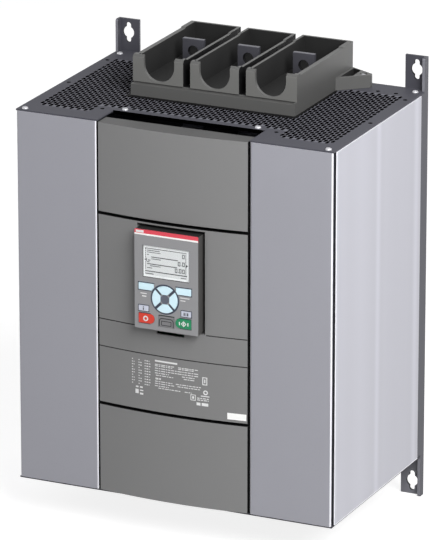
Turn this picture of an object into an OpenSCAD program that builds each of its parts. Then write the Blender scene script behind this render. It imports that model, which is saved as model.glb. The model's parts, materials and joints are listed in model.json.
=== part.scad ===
// Wall-mounted three-phase soft starter with a detachable keypad.
// The back of the mounting rails lies in the plane Y = 0, the front faces -Y and Z points up.
// The origin is the centre of the four mounting slots.

/* [Body] */
// Width over the side panels
body_w = 361; // [340:1:400]
// Height of the front and side panels
body_h = 402; // [390:1:440]
// Depth from the wall to the face of the front panels
body_d = 245; // [238:1:270]
// Sheet thickness of the light panels
panel_t = 1.5; // [1:0.1:2]
// Sheet thickness of the chassis and the front frame
frame_t = 2; // [1.5:0.1:2.5]
// Sheet thickness of the top and bottom plates
plate_t = 1.6; // [1.2:0.1:2.4]

/* [Mounting rails] */
// Length of the rails above the body
lug_top = 37.5; // [34:0.5:48]
// Length of the rails below the body
lug_bottom = 47.5; // [34:0.5:56]
// Width of the rail against the wall
rail_w = 25; // [22:0.5:32]
// Sheet thickness of the rails
rail_t = 3; // [2:0.5:4]
// Depth of the rail's flange at the lugs
lug_flange = 10; // [6:0.5:16]
// Depth of the rail's flange behind the side panels
rail_flange = 40; // [30:1:60]
// Corner radius at the ends of the flange
flange_r = 2.5; // [1:0.5:5.5]
// Distance of the slot centre from the rail's outer face
slot_inset = 12; // [11:0.5:14]
// Distance of the slot centre from the rail's end
slot_end = 15; // [13:0.5:17]
// Width of the slot
slot_w = 6; // [5:0.5:7]
// Length of the slot from end to end
slot_len = 22; // [18:0.5:24]
// Diameter of the eye in the middle of the slot
slot_eye = 13; // [10:0.5:14]

/* [Panels] */
// Distance of the front panels' outer edge inside the side panels
front_inset = 2; // [1:0.25:2]
// Outer radius of the bends in the light panels
bend_r = 2.4; // [2:0.1:2.5]
// Distance of the side panels' front edge behind the front panels
side_front = 6.5; // [4:0.25:8]
// Distance of the side panels' rear edge from the wall
side_rear = 21; // [14:1:28]
// Width of the chassis's folded front flanges
chassis_fold = 18; // [10:1:24]
// Half width of the windows in the front frame
frame_open = 78; // [74:0.5:79]
// Height of the front frame's bottom bar
frame_bar = 30; // [16:1:40]
// Height of the front frame's bars behind the cover seams
seam_bar = 7; // [5:0.5:8]

/* [Front covers] */
// Width of the covers
cover_w = 169.2; // [166:0.2:172]
// Gap between the covers and the front panels
cover_gap = 2.2; // [1:0.1:3]
// Height of the covers' crest in front of the panels
cover_bulge = 6; // [4:0.5:9]
// Wall thickness of the covers
cover_t = 2.5; // [2:0.1:3]
// Depth of the upper cover's top face
cover_return = 19; // [12:0.5:24]
// Height of the upper seam above the body's middle
seam_top = 103.7; // [103.5:0.1:112]
// Height of the lower seam below the body's middle
seam_low = 104; // [95:0.5:120]
// Height of the gap at the seams
seam_gap = 3.2; // [1:0.1:3.4]
// Height of the upper groove below the body's middle
groove_a = 11.2; // [10.8:0.1:12]
// Height of the lower groove below the body's middle
groove_b = 41; // [35:0.5:60]
// Width and depth of the grooves
groove_w = 0.8; // [0.5:0.1:1.2]
// Width of the finger slot under the keypad
grip_w = 31; // [20:0.5:40]
// Height of the finger slot
grip_h = 3; // [2:0.1:4]
// Distance of the finger slot below the keypad
grip_drop = 4.3; // [4:0.1:8]

/* [Keypad] */
// Width of the keypad
kp_w = 72.2; // [71:0.2:74]
// Height of the keypad
kp_h = 107; // [105:0.5:108]
// Height of the keypad's lower edge below the body's middle
kp_low = 9.4; // [9:0.1:10]
// Distance of the keypad's face in front of the front panels
kp_proud = 15.5; // [14:0.5:20]
// Overall depth of the keypad
kp_d = 24.5; // [22:0.5:27]
// Thickness of the keypad's front shell
kp_front_t = 3; // [2.6:0.1:3.4]
// Wall thickness of the keypad's rear shell
kp_wall = 2; // [1.5:0.1:2.5]
// Distance of the rear shell's sides inside the front shell
kp_step = 0.8; // [0.4:0.1:1.4]
// Gap between the keypad and the sides of its pocket
kp_gap = 2.4; // [1.6:0.1:2.5]
// Height of the coloured band at the top of the keypad
band_h = 6; // [5:0.5:9]
// Thickness of the coloured band
band_t = 0.5; // [0.3:0.1:0.8]
// Width of the display
lcd_w = 52.4; // [46:0.2:54]
// Height of the display
lcd_h = 34.2; // [28:0.1:35]
// Distance of the display's top below the keypad's top
lcd_drop = 16.7; // [15:0.1:18]
// Distance of the display's middle from the keypad's middle, negative to the left
lcd_shift = -0.5; // [-1:0.1:0.5]
// Thickness of the display's window
lens_t = 1; // [0.8:0.1:1.4]
// Height of the arrow pad's centre above the keypad's lower edge
nav_up = 34.6; // [34:0.1:36]
// Radius of the arrow pad
nav_r = 14.3; // [13:0.1:14.8]
// Distance of the arrow keys' inner edges from the pad's centre
nav_in = 5.2; // [4:0.1:6]
// Half width of the gaps between the arrow keys
nav_split = 1.5; // [1:0.1:1.8]
// Distance of the keys' middle from the keypad's middle, negative to the left
key_shift = -1.6; // [-1.8:0.1:0]
// Distance of the outer keys' far edges from the keys' middle
key_out = 29.6; // [29.4:0.1:30.5]
// Width of the soft keys
soft_w = 16.8; // [15:0.2:19]
// Height of the soft keys
soft_h = 7; // [6:0.1:7.5]
// Width of the small keys
small_w = 10.8; // [9:0.2:12]
// Height of the small keys
small_h = 5.6; // [5:0.1:6]
// Width of the stop and start keys
run_w = 17.4; // [16:0.2:17.6]
// Height of the stop and start keys
run_h = 10; // [8:0.1:10.5]
// Distance that the keys stand proud of the keypad
key_proud = 0.9; // [0.9:0.1:1.5]
// Clearance of the keys in the keypad
key_gap = 0.3; // [0.2:0.05:0.4]
// Width of the rim that keeps the keys in
key_rim = 0.6; // [0.5:0.05:0.65]
// Width of the service port's flap
flap_w = 17.4; // [15:0.2:18]
// Height of the service port's flap
flap_h = 10.2; // [9:0.1:10.5]
// Thickness of the flap
flap_t = 1.4; // [1:0.1:1.5]
// Radius of the flap's pins
flap_pin_r = 0.5; // [0.4:0.05:0.6]

/* [Top and bottom plates] */
// Width of the notch over the front covers
notch_w = 172; // [170.5:0.2:176]
// Depth of the notch over the front covers
notch_d = 39; // [30:0.2:42]
// Height of the lip at the notch
lip_h = 2.5; // [2:0.5:8]
// Distance of the plates' edges inside the panels' faces
plate_in = 1.2; // [0:0.1:1.4]
// Spacing of the top plate's slots along a row
vent_pitch = 12; // [11:0.2:14]
// Spacing of the rows of slots
vent_row = 7.2; // [7:0.1:9]
// Width of the slots
vent_w = 3.8; // [2.5:0.1:4.2]
// Length of the slots
vent_len = 10.6; // [8:0.1:11.4]
// Spacing of the fan intakes' holes
intake_pitch = 11; // [10:0.2:14]
// Radius of the fan intakes' holes
intake_r = 3.9; // [2.5:0.1:4.2]
// Width of the plain border at the sides
border_side = 14; // [9:0.5:18]
// Width of the plain border at the front
border_front = 23; // [18:0.5:45]
// Width of the plain border at the rear
border_rear = 34; // [30:0.5:60]
// Width of the plain border behind the notch
border_notch = 6; // [4:0.5:16]
// Width of the plain border beside the notch
notch_side = 18; // [10:0.5:24]

/* [Terminal shroud] */
// Width of the shroud
shroud_w = 187; // [184:0.5:192]
// Distance of the shroud's front from the wall
shroud_front = 149.5; // [144:0.5:152]
// Distance of the shroud's rear from the wall
shroud_rear = 1; // [0.5:0.5:2]
// Height of the shroud
shroud_h = 42.7; // [38:0.1:48]
// Height of the shroud's plinth
plinth_h = 14; // [10:0.5:16]
// Wall thickness of the shroud
shroud_t = 3; // [2.5:0.1:3.4]
// Distance between the phases
bay_pitch = 63.5; // [63:0.1:64]
// Width of the gap between the bays
bay_gap = 8; // [6:0.2:10]
// Width of the U-shaped openings
mouth_w = 35; // [24:0.5:36]
// Depth of the posts beside the U-shaped openings
post_d = 8; // [6:0.5:12]
// Drop of the bays' side walls below the posts
wall_drop = 1.6; // [1:0.1:3]
// Drop of the bays' rear part below the posts
rear_drop = 0.4; // [0:0.1:0.8]
// Length of the bays' rear part
rear_len = 25; // [20:0.5:40]
// Reach of the ears beyond the shroud's sides
ear_w = 28.5; // [24:0.5:31]

/* [Terminal bars] */
// Width of the terminal bars
bar_w = 24.5; // [22:0.5:30]
// Thickness of the terminal bars
bar_t = 5; // [4:0.5:6]
// Diameter of the terminal holes
bar_hole = 11; // [9:0.5:13]
// Distance of the line bars' front face from the wall
line_y = 61; // [58:0.5:68]
// Height of the line bars above the body
line_up = 42.5; // [40:0.5:44]
// Distance of the load bars' front face from the wall
load_y = 112; // [111:0.5:116]
// Length of the load bars below the body
load_down = 36; // [30:0.5:38]
// Distance of the hole centres from the ends of the bars
bar_hole_end = 13; // [9:0.5:14]

/* [Power parts] */
// Width of each heat sink
sink_w = 60; // [56:0.5:62]
// Depth of each heat sink
sink_d = 90; // [88:1:92]
// Height of each heat sink
sink_h = 260; // [220:2:270]
// Thickness of the heat sink's base
sink_base = 12; // [8:0.5:16]
// Number of fins on each heat sink
fins = 9; // [6:1:12]
// Thickness of a fin
fin_t = 2.4; // [1.5:0.1:3]
// Width of each thyristor module
module_w = 50; // [44:0.5:54]
// Depth of each thyristor module
module_d = 34; // [30:0.5:36]
// Height of each thyristor module
module_h = 120; // [100:1:140]
// Depth of each bypass contactor
bypass_d = 56; // [48:0.5:58]
// Height of each bypass contactor
bypass_h = 110; // [96:1:120]
// Height of the current transformers
ct_h = 30; // [24:0.5:36]
// Depth of the current transformers
ct_d = 33; // [30:0.5:34]

/* [Control board] */
// Distance that the control board reaches below the lower seam
board_drop = 40; // [30:1:50]
// Distance that the control board reaches above the upper seam
board_rise = 60; // [50:1:80]
// Distance of the board's spacers beyond the front frame's windows
spacer_in = 4.5; // [4:0.1:6]
// Distance of the board's spacers from its upper and lower edges
spacer_end = 8; // [6:0.5:12]
// Radius of the board's spacers
spacer_r = 3.5; // [2.5:0.1:4]
// Number of control terminals
poles = 14; // [8:1:15]
// Width of one control terminal
pole = 10; // [8:0.2:10]
// Height and depth of the row of control terminals
strip_h = 15; // [12:0.5:16]

/* [Fans] */
// Side of the square fan frames
fan_size = 80; // [76:0.5:81]
// Depth of the fan frames
fan_h = 25; // [22:0.5:32]
// Wall between the fan's duct and its frame
fan_wall = 2; // [1.5:0.1:3]
// Radius of the fan's hub
hub_r = 14; // [12:0.5:18]
// Radius of the fan's shaft
shaft_r = 2; // [1.5:0.1:3]
// Number of blades
blades = 7; // [5:1:9]
// Distance between the fans' centres
fan_pitch = 92; // [86:1:110]

/* [Hidden] */

$fn = 64;
// Small overlap that lets a cut run past a face
past = 1;
// Gap between pieces that lie loosely together
loose = 0.3;
// Clearance of a running fit, measured on the radius
run_fit = 0.05;

// Levels of the body
body_rise = (lug_bottom - lug_top) / 2;
// Reach of the upper seam bar below its seam
seam_reach = 1;
top_z = body_rise + body_h / 2;
bottom_z = body_rise - body_h / 2;
rail_len = body_h + lug_top + lug_bottom;
front_y = -body_d;

// Planes of the sheet metal, from the outside inwards
side_x = body_w / 2;
rail_x = side_x - panel_t;
chassis_x = rail_x - rail_t;
inner_x = chassis_x - frame_t;
panel_back = front_y + panel_t;
frame_front = panel_back + frame_t;
frame_back = frame_front + frame_t;
chassis_back = -rail_t - frame_t;

// Front covers
cover_x = cover_w / 2;
cover_r = (cover_x * cover_x + cover_bulge * cover_bulge) / (2 * cover_bulge);
cover_y = front_y - cover_bulge + cover_r;
seam_top_z = body_rise + seam_top;
seam_low_z = body_rise - seam_low;
panel_in = cover_x + cover_gap;
panel_out = side_x - front_inset;
frame_notch = 8;

// Keypad
kp_low_z = body_rise - kp_low;
kp_top_z = kp_low_z + kp_h;
kp_face = front_y - kp_proud;
kp_inner = kp_face + kp_front_t;
kp_rear = kp_face + kp_d;
pocket_t = 2;
pocket_x = kp_w / 2 + kp_gap;
pocket_low = kp_low_z - 1;
pocket_top = kp_top_z + kp_gap;
pocket_floor = kp_rear + loose;
nav_z = kp_low_z + nav_up;
key_travel = 0.8;
key_flange_t = 0.8;
key_back = kp_inner + loose + key_flange_t;
board_front = key_back + key_travel + loose;
pcb_t = 1.6;
// Distances of the rows of keys from the arrow pad's centre
soft_up = 11.3;
small_drop = 12.4;
run_drop = 23.2;
soft_z = nav_z + soft_up;
small_z = nav_z - small_drop;
run_z = nav_z - run_drop;
ring_gap = 2.3;
lcd_z = kp_top_z - lcd_drop - lcd_h / 2;
lens_in = 0.2;
lens_y = kp_face + lens_in;
kp_corner = 1.5;
// Place of the flap's hinge behind the face and below the arrow pad's centre
flap_in = 1.3;
flap_drop = 19.5;
flap_axis_y = kp_face + flap_in;
flap_axis_z = nav_z - flap_drop;
flap_barrel_r = 0.9;
flap_low_z = flap_axis_z - flap_h;
flap_pin = 1.2;
port_x = flap_w / 2 + loose;
port_low = flap_low_z - loose;
port_rise = 2.3;
port_top = flap_axis_z + port_rise;

// Top plate and shroud
plate_top = top_z + plate_t;
plate_low = bottom_z - plate_t;
notch_y = front_y + notch_d;
plinth_z = plate_top + plinth_h;
shroud_z = plate_top + shroud_h;
shroud_set = 5.5;
shroud_y = -shroud_front;
bay_w = bay_pitch - bay_gap;
// Height of the mouths' lowest point above the plinth
mouth_sill = 2;
mouth_z = plinth_z + mouth_sill + mouth_w / 2;
// Lengths of the ears at the shroud's side and at their outer end
ear_len = 45;
ear_tip_len = 17;
ear_front = shroud_rear + ear_len;
ear_tip = shroud_rear + ear_tip_len;
ear_end = 5;
ear_base = 3;
ear_seat = 2.5;
ear_pocket = ear_w * 0.45;
ear_x = shroud_w / 2 + ear_w * 0.7;
ear_screw_in = 1;
ear_y = -ear_tip - ear_screw_in;
screw_r = 2;
screw_fit = 0.2;
head_r = 3.4;
head_h = 1.9;
// Distances of the top plate's screws from the edges that they stand at
screw_in = 3;
screw_fore = 6;
screw_rear = 16;
notch_screw_in = 10.8;
notch_screw_back = 5.8;
bar_slot = 3;

// Power parts
sink_front = chassis_back - sink_d;
module_front = sink_front - module_d;
bar_front = module_front - bar_t;
bypass_front = bar_front - bypass_d;
// Drop of the heat sinks below the body's middle, and the reach of the bars past sink and module
sink_lower = 5;
line_over = 17;
load_under = 45;
sink_z = body_rise - sink_lower;
line_z = sink_z + sink_h / 2 + line_over;
load_z = sink_z - module_h / 2 - load_under;
bar_lap = 10;
// Distance of the control board's back behind the front
board_in = 18;
board_back = front_y + board_in;
board_low = seam_low_z - board_drop;
board_top = seam_top_z + board_rise;

// Fans
fan_in = 5;
fan_y = chassis_back - loose - fan_in - fan_size / 2;
duct_r = fan_size / 2 - fan_wall;

dark_sheet = [0.30, 0.30, 0.33];
light_sheet = [0.68, 0.68, 0.71];
dark_plastic = [0.44, 0.44, 0.43];
black_plastic = [0.10, 0.10, 0.11];
tin = [0.52, 0.53, 0.58];
alloy = [0.75, 0.76, 0.78];
board_green = [0.10, 0.35, 0.20];
key_blue = [0.74, 0.86, 0.94];
key_grey = [0.82, 0.84, 0.88];
stop_red = [0.80, 0.14, 0.10];
start_green = [0.05, 0.42, 0.22];
band_red = [0.85, 0.20, 0.26];

// Shared shapes

// A box between two corners
module block(low, high) {
  translate(low) cube(high - low);
}

// An XZ outline with thickness t, its front at y
module slab(y, t) {
  translate([0, y + t, 0]) rotate([90, 0, 0]) linear_extrude(t) children();
}

// A YZ outline with width w, centred on x
module rib(x, w) {
  translate([x - w / 2, 0, 0]) rotate([90, 0, 90]) linear_extrude(w) children();
}

// An XY outline between two heights
module level(z0, z1) {
  translate([0, 0, z0]) linear_extrude(z1 - z0) children();
}

// A rectangle between two corners
module rect(low, high) {
  translate(low) square(high - low);
}

// A rectangle between two corners, with rounded corners
module round_rect(low, high, r) {
  rect([low.x + r, low.y], [high.x - r, high.y]);
  rect([low.x, low.y + r], [high.x, high.y - r]);
  for (x = [low.x + r, high.x - r]) {
    for (y = [low.y + r, high.y - r]) {
      translate([x, y]) circle(r);
    }
  }
}

// A cylinder along Y, its front at y
module rod_y(x, y, z, r, l) {
  translate([x, y, z]) rotate([-90, 0, 0]) cylinder(r = r, h = l);
}

// A cylinder along X, its left end at x
module rod_x(x, y, z, r, l) {
  translate([x, y, z]) rotate([0, 90, 0]) cylinder(r = r, h = l);
}

module left_hand() {
  mirror([1, 0, 0]) children();
}

// X position of a phase, counted from 1 to 3
function phase_x(i) = (i - 2) * bay_pitch;

// Housing

// The folded case, with a rib on each side that carries the side panel's front edge
module chassis() {
  rib_y = front_y + side_front + panel_t;
  color(dark_sheet) level(bottom_z, top_z) union() {
    difference() {
      rect([-chassis_x, panel_back], [chassis_x, -rail_t]);
      rect([-inner_x, frame_front], [inner_x, chassis_back]);
      rect([-chassis_x + chassis_fold, panel_back - past], [chassis_x - chassis_fold, frame_front + past]);
    }
    rect([inner_x, rib_y], [rail_x, rib_y + frame_t]);
    rect([-rail_x, rib_y], [-inner_x, rib_y + frame_t]);
  }
}

module flange_outline() {
  half = rail_len / 2;
  rect([-lug_flange + flange_r, -half], [0, half]);
  rect([-lug_flange, -half + flange_r], [0, half - flange_r]);
  for (z = [-half + flange_r, half - flange_r]) {
    translate([-lug_flange + flange_r, z]) circle(flange_r);
  }
  rect([-rail_flange, bottom_z], [0, top_z]);
}

module slot_outline() {
  run = (slot_len - slot_w) / 2;
  circle(d = slot_eye);
  rect([-slot_w / 2, -run], [slot_w / 2, run]);
  for (z = [-run, run]) {
    translate([0, z]) circle(d = slot_w);
  }
}

module rail() {
  color(dark_sheet) union() {
    rib(rail_x - rail_t / 2, rail_t) flange_outline();
    slab(-rail_t, rail_t) difference() {
      rect([rail_x - rail_w, -rail_len / 2], [rail_x - rail_t / 2, rail_len / 2]);
      for (z = [-rail_len / 2 + slot_end, rail_len / 2 - slot_end]) {
        translate([rail_x - slot_inset, z]) slot_outline();
      }
    }
  }
}

module front_frame() {
  color(dark_sheet) slab(frame_front, frame_t) difference() {
    rect([-inner_x, bottom_z], [inner_x, top_z]);
    rect([-frame_open, seam_top_z + seam_bar - seam_reach], [frame_open, top_z + past]);
    rect([-frame_open, seam_low_z + seam_bar / 2], [frame_open, seam_top_z - seam_reach]);
    rect([-frame_open, bottom_z + frame_bar], [frame_open, seam_low_z - seam_bar / 2]);
    rect([-cover_x - loose, top_z - frame_notch], [cover_x + loose, top_z + past]);
    rect([inner_x - frame_notch, top_z - frame_notch], [inner_x + past, top_z + past]);
    rect([-inner_x - past, top_z - frame_notch], [-inner_x + frame_notch, top_z + past]);
  }
}

// A flat sheet with a rounded front edge
module side_panel() {
  y0 = front_y + side_front + panel_t / 2;
  color(light_sheet) level(bottom_z, top_z) union() {
    rect([rail_x, y0], [side_x, -side_rear]);
    translate([side_x - panel_t / 2, y0]) circle(d = panel_t, $fn = 24);
  }
}

// The rounded front corner of a folded sheet, on its right for side 1 and on its left for side -1
module bend_corner(x, y, side) {
  intersection() {
    translate([x, y]) difference() {
      circle(bend_r);
      circle(bend_r - panel_t);
    }
    rect([side > 0 ? x : x - bend_r, y - bend_r], [side > 0 ? x + bend_r : x, y]);
  }
}

module front_panel() {
  color(light_sheet) level(bottom_z, top_z) union() {
    rect([panel_in + bend_r, front_y], [panel_out - bend_r, panel_back]);
    rect([panel_in, front_y + bend_r], [panel_in + panel_t, frame_front]);
    bend_corner(panel_in + bend_r, front_y + bend_r, -1);
    bend_corner(panel_out - bend_r, front_y + bend_r, 1);
  }
}

// The plan of a plate that closes the body, clear of the rails' flanges
module plate_plan() {
  difference() {
    rect([-side_x + plate_in, front_y + plate_in], [side_x - plate_in, -rail_t]);
    for (s = [-1, 1]) {
      rect([s > 0 ? chassis_x - loose : -side_x - past, -lug_flange - loose],
        [s > 0 ? side_x + past : -chassis_x + loose, past]);
    }
  }
}

// True where the top plate has a slot, for a slot's middle measured from the body's front middle
function slotted(x, y) =
  let (ax = abs(x) + vent_w / 2, near = abs(x) - vent_w / 2, fore = y - vent_len / 2, aft = y + vent_len / 2)
  ax < side_x - border_side && fore > border_front && aft < body_d - border_rear
  && !(near < notch_w / 2 + notch_side && fore < notch_d + border_notch)
  && !(near < shroud_w / 2 && aft > body_d - shroud_front + shroud_t)
  && !(near < shroud_w / 2 + ear_w && aft > body_d - ear_front)
  && len([for (p = top_screw_places()) if (blocked(p, x, y)) p]) == 0;

// True where a slot would come too near to a screw at p
function blocked(p, x, y) =
  abs(x - p.x) < head_r + vent_w / 2 + 1 && abs(y + front_y - p.y) < head_r + vent_len / 2 + 1;

module perforations() {
  for (j = [0 : floor(body_d / vent_row)]) {
    for (i = [-ceil(side_x / vent_pitch) : ceil(side_x / vent_pitch)]) {
      x = (i + (j % 2) / 2) * vent_pitch;
      y = j * vent_row;
      if (slotted(x, y)) {
        translate([x, front_y + y]) square([vent_w, vent_len], center = true);
      }
    }
  }
}

// Places of the screws that hold the top plate
function top_screw_places() = [for (s = [-1, 1]) each [
  [s * (inner_x - screw_in), front_y + screw_fore],
  [s * (notch_w / 2 - notch_screw_in), notch_y + notch_screw_back],
  [s * (inner_x - screw_in), -screw_rear]]];

module top_grille() {
  color(dark_sheet) union() {
    level(top_z, plate_top) difference() {
      plate_plan();
      rect([-notch_w / 2, front_y - past], [notch_w / 2, notch_y]);
      perforations();
      for (i = [1 : 3]) {
        bar_opening(phase_x(i), -line_y);
      }
      for (p = top_screw_places()) {
        translate(p) circle(screw_r + screw_fit);
      }
      for (s = [-1, 1]) {
        translate([s * ear_x, ear_y]) circle(screw_r + screw_fit);
      }
    }
    block([-notch_w / 2, notch_y, top_z - lip_h], [notch_w / 2, notch_y + plate_t, plate_top]);
  }
}

// The opening that a bar passes through, with the bar's front face at y
module bar_opening(x, y) {
  rect([x - bar_w / 2 - bar_slot, y - bar_slot], [x + bar_w / 2 + bar_slot, y + bar_t + bar_slot]);
}

module fan_intake() {
  row = intake_pitch * sqrt(3) / 2;
  n = ceil(duct_r / row);
  for (j = [-n : n]) {
    for (i = [-n : n]) {
      x = (i + (abs(j) % 2) / 2) * intake_pitch;
      y = j * row;
      if (norm([x, y]) < duct_r - intake_r) {
        translate([x, y]) rotate(30) circle(intake_r, $fn = 6);
      }
    }
  }
}

module bottom_plate() {
  color(dark_sheet) level(plate_low, bottom_z) difference() {
    plate_plan();
    for (i = [1 : 3]) {
      bar_opening(phase_x(i), -load_y);
    }
    for (s = [-1, 1]) {
      translate([s * fan_pitch / 2, fan_y]) fan_intake();
    }
  }
}

// Front covers

// The plan of a cover: a curved front between straight sides, d inside the outer skin
module cover_plan(d, rear) {
  intersection() {
    translate([0, cover_y]) circle(cover_r - d, $fn = 256);
    rect([-cover_x + d, front_y - cover_bulge - past], [cover_x - d, rear]);
  }
}

// A cover between two heights, with closed ends and an open back
module cover_shell(z0, z1) {
  difference() {
    level(z0, z1) cover_plan(0, frame_front);
    level(z0 + cover_t, z1 - cover_t) cover_plan(cover_t, frame_front + past);
  }
}

module upper_cover() {
  color(dark_plastic) union() {
    cover_shell(seam_top_z + seam_gap / 2, top_z);
    level(top_z - cover_t, top_z)
      rect([-cover_x, frame_front - past], [cover_x, front_y + cover_return]);
  }
}

module lower_cover() {
  color(dark_plastic) cover_shell(bottom_z, seam_low_z - seam_gap / 2);
}

module groove(z, inside) {
  level(z - groove_w / 2, z + groove_w / 2) difference() {
    cover_plan(-past, frame_front);
    cover_plan(groove_w, frame_front + past);
    if (inside > 0) {
      rect([-inside, front_y - cover_bulge - 2 * past], [inside, frame_front + past]);
    }
  }
}

module keypad_cover() {
  grip_z = kp_low_z - grip_drop;
  color(dark_plastic) difference() {
    union() {
      cover_shell(seam_low_z + seam_gap / 2, seam_top_z - seam_gap / 2);
      level(pocket_low - pocket_t, pocket_top + pocket_t) intersection() {
        cover_plan(0, pocket_floor + pocket_t);
        rect([-pocket_x - pocket_t, front_y - cover_bulge - past],
          [pocket_x + pocket_t, pocket_floor + pocket_t]);
      }
    }
    block([-pocket_x, front_y - cover_bulge - past, pocket_low], [pocket_x, pocket_floor, pocket_top]);
    block([-grip_w / 2, front_y - cover_bulge - past, grip_z - grip_h],
      [grip_w / 2, front_y + cover_t, grip_z]);
    groove(body_rise - groove_a, pocket_x + pocket_t);
    groove(body_rise - groove_b, 0);
  }
}

// Terminal shroud

// The side outline of a bay: a front post with a chamfered edge, lower side walls and a rear part
module bay_outline(z0) {
  y0 = shroud_y + shroud_set;
  chamfer = 2.5;
  rear = -shroud_rear;
  wall_z = shroud_z - wall_drop;
  polygon([[y0, z0], [y0, shroud_z - chamfer], [y0 + chamfer, shroud_z], [y0 + post_d, shroud_z],
    [y0 + post_d + wall_drop, wall_z], [rear - rear_len - wall_drop, wall_z],
    [rear - rear_len, shroud_z - rear_drop], [rear, shroud_z - rear_drop], [rear, z0]]);
}

module bay(i) {
  x = phase_x(i);
  half = bay_w / 2;
  out = shroud_w / 2 - bay_pitch - half;
  rib(x + (i - 2) * out / 2, bay_w + abs(i - 2) * out) bay_outline(plinth_z - shroud_t);
}

module bay_hollow(i) {
  x = phase_x(i);
  half = bay_w / 2 - shroud_t;
  front = shroud_y + shroud_set;
  block([x - half, front + shroud_t + 1, plinth_z], [x + half, -shroud_rear - shroud_t, shroud_z + past]);
  rod_y(x, front - past, mouth_z, mouth_w / 2, shroud_t + 3);
  block([x - mouth_w / 2, front - past, mouth_z], [x + mouth_w / 2, front + shroud_t + 2, shroud_z + past]);
  level(plinth_z - shroud_t - past, plinth_z + past) bar_opening(x, -line_y);
}

// The plan of an ear, d inside its outline: a triangle with a blunt end
module ear_plan(d) {
  x0 = shroud_w / 2 - shroud_t;
  x1 = shroud_w / 2 + ear_w - d;
  polygon([[x0, -ear_front + 2 * d], [x0 + shroud_t, -ear_front + 2 * d], [x1, -ear_tip - ear_end / 2],
    [x1, -ear_tip + ear_end / 2], [x0 + shroud_t, -shroud_rear - d], [x0, -shroud_rear - d]]);
}

module ear() {
  wall = 2.5;
  side = shroud_w / 2;
  difference() {
    level(plate_top, plinth_z) ear_plan(0);
    intersection() {
      level(plate_top + ear_base, plinth_z + past) ear_plan(wall);
      block([side + wall, -ear_front, plate_top], [side + ear_pocket, 0, plinth_z + past]);
    }
    translate([ear_x, ear_y, plinth_z - ear_seat]) cylinder(r = head_r + 2 * screw_fit, h = ear_seat + past);
    translate([ear_x, ear_y, plate_top - past]) cylinder(r = screw_r + screw_fit, h = plinth_h + past);
  }
}

module terminal_shroud() {
  half = shroud_w / 2;
  groove_h = 1.4;
  groove_d = shroud_set + 2;
  color(dark_plastic) difference() {
    union() {
      block([-half, shroud_y, plate_top], [half, -shroud_rear, plinth_z]);
      for (i = [1 : 3]) {
        bay(i);
      }
      ear();
      left_hand() ear();
    }
    block([-half + shroud_t, shroud_y + groove_d + shroud_t, plate_top - past],
      [half - shroud_t, -shroud_rear - shroud_t, plinth_z - shroud_t]);
    block([-half - past, shroud_y - past, plinth_z - groove_h], [half - 2, shroud_y + groove_d, plinth_z]);
    for (i = [1 : 3]) {
      bay_hollow(i);
    }
  }
}

// Terminal bars and power parts

module line_bar(i) {
  y = -line_y;
  end = top_z + line_up;
  color(tin) difference() {
    rib(phase_x(i), bar_w) union() {
      rect([bar_front, sink_z + bar_lap], [module_front, line_z + bar_t]);
      rect([bar_front, line_z], [y + bar_t, line_z + bar_t]);
      rect([y, line_z], [y + bar_t, end]);
    }
    rod_y(phase_x(i), y - past, end - bar_hole_end, bar_hole / 2, bar_t + 2 * past);
  }
}

module load_bar(i) {
  y = -load_y;
  end = bottom_z - load_down;
  color(tin) difference() {
    rib(phase_x(i), bar_w) union() {
      rect([bar_front, load_z - bar_t], [module_front, sink_z - bar_lap]);
      rect([bar_front, load_z - bar_t], [y + bar_t, load_z]);
      rect([y, end], [y + bar_t, load_z]);
    }
    rod_y(phase_x(i), y - past, end + bar_hole_end, bar_hole / 2, bar_t + 2 * past);
  }
}

module heat_sink(i) {
  x0 = phase_x(i) - sink_w / 2;
  step = (sink_w - fin_t) / (fins - 1);
  color(alloy) level(sink_z - sink_h / 2, sink_z + sink_h / 2) union() {
    rect([x0, sink_front], [x0 + sink_w, sink_front + sink_base]);
    for (k = [0 : fins - 1]) {
      rect([x0 + k * step, sink_front], [x0 + k * step + fin_t, chassis_back]);
    }
  }
}

module thyristor_module(i) {
  x = phase_x(i);
  half = module_w / 2;
  base = 4;
  inset = 3;
  color(black_plastic) union() {
    block([x - half, sink_front - base, sink_z - module_h / 2],
      [x + half, sink_front, sink_z + module_h / 2]);
    block([x - half + inset, module_front, sink_z - module_h / 2 + 2 * inset],
      [x + half - inset, sink_front, sink_z + module_h / 2 - 2 * inset]);
  }
}

module bypass_contactor(i) {
  x = phase_x(i);
  half = module_w / 2;
  step = 8;
  color(black_plastic) union() {
    block([x - half, bar_front - bypass_d / 2, sink_z - bypass_h / 2],
      [x + half, bar_front, sink_z + bypass_h / 2]);
    block([x - half + step / 2, bypass_front, sink_z - bypass_h / 2 + step],
      [x + half - step / 2, bar_front, sink_z + bypass_h / 2 - step]);
  }
}

module current_transformer(i) {
  x = phase_x(i);
  y = -load_y + bar_t / 2;
  half = bay_pitch / 2 - 2;
  color(black_plastic) level(bottom_z, bottom_z + ct_h) difference() {
    round_rect([x - half, y - ct_d / 2], [x + half, y + ct_d / 2], 5);
    rect([x - bar_w / 2 - loose, y - bar_t / 2 - loose], [x + bar_w / 2 + loose, y + bar_t / 2 + loose]);
  }
}

// Places of the spacers that carry the control board
function spacer_places() = [for (s = [-1, 1]) each [[s * (frame_open + spacer_in), board_low + spacer_end],
  [s * (frame_open + spacer_in), board_top - spacer_end]]];

module board_spacers() {
  color(alloy) for (p = spacer_places()) {
    rod_y(p.x, frame_back, p.y, spacer_r, board_back - frame_back);
  }
}

module control_board() {
  half = frame_open + 2 * spacer_in;
  color(board_green) slab(board_back, pcb_t) rect([-half, board_low], [half, board_top]);
}

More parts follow.
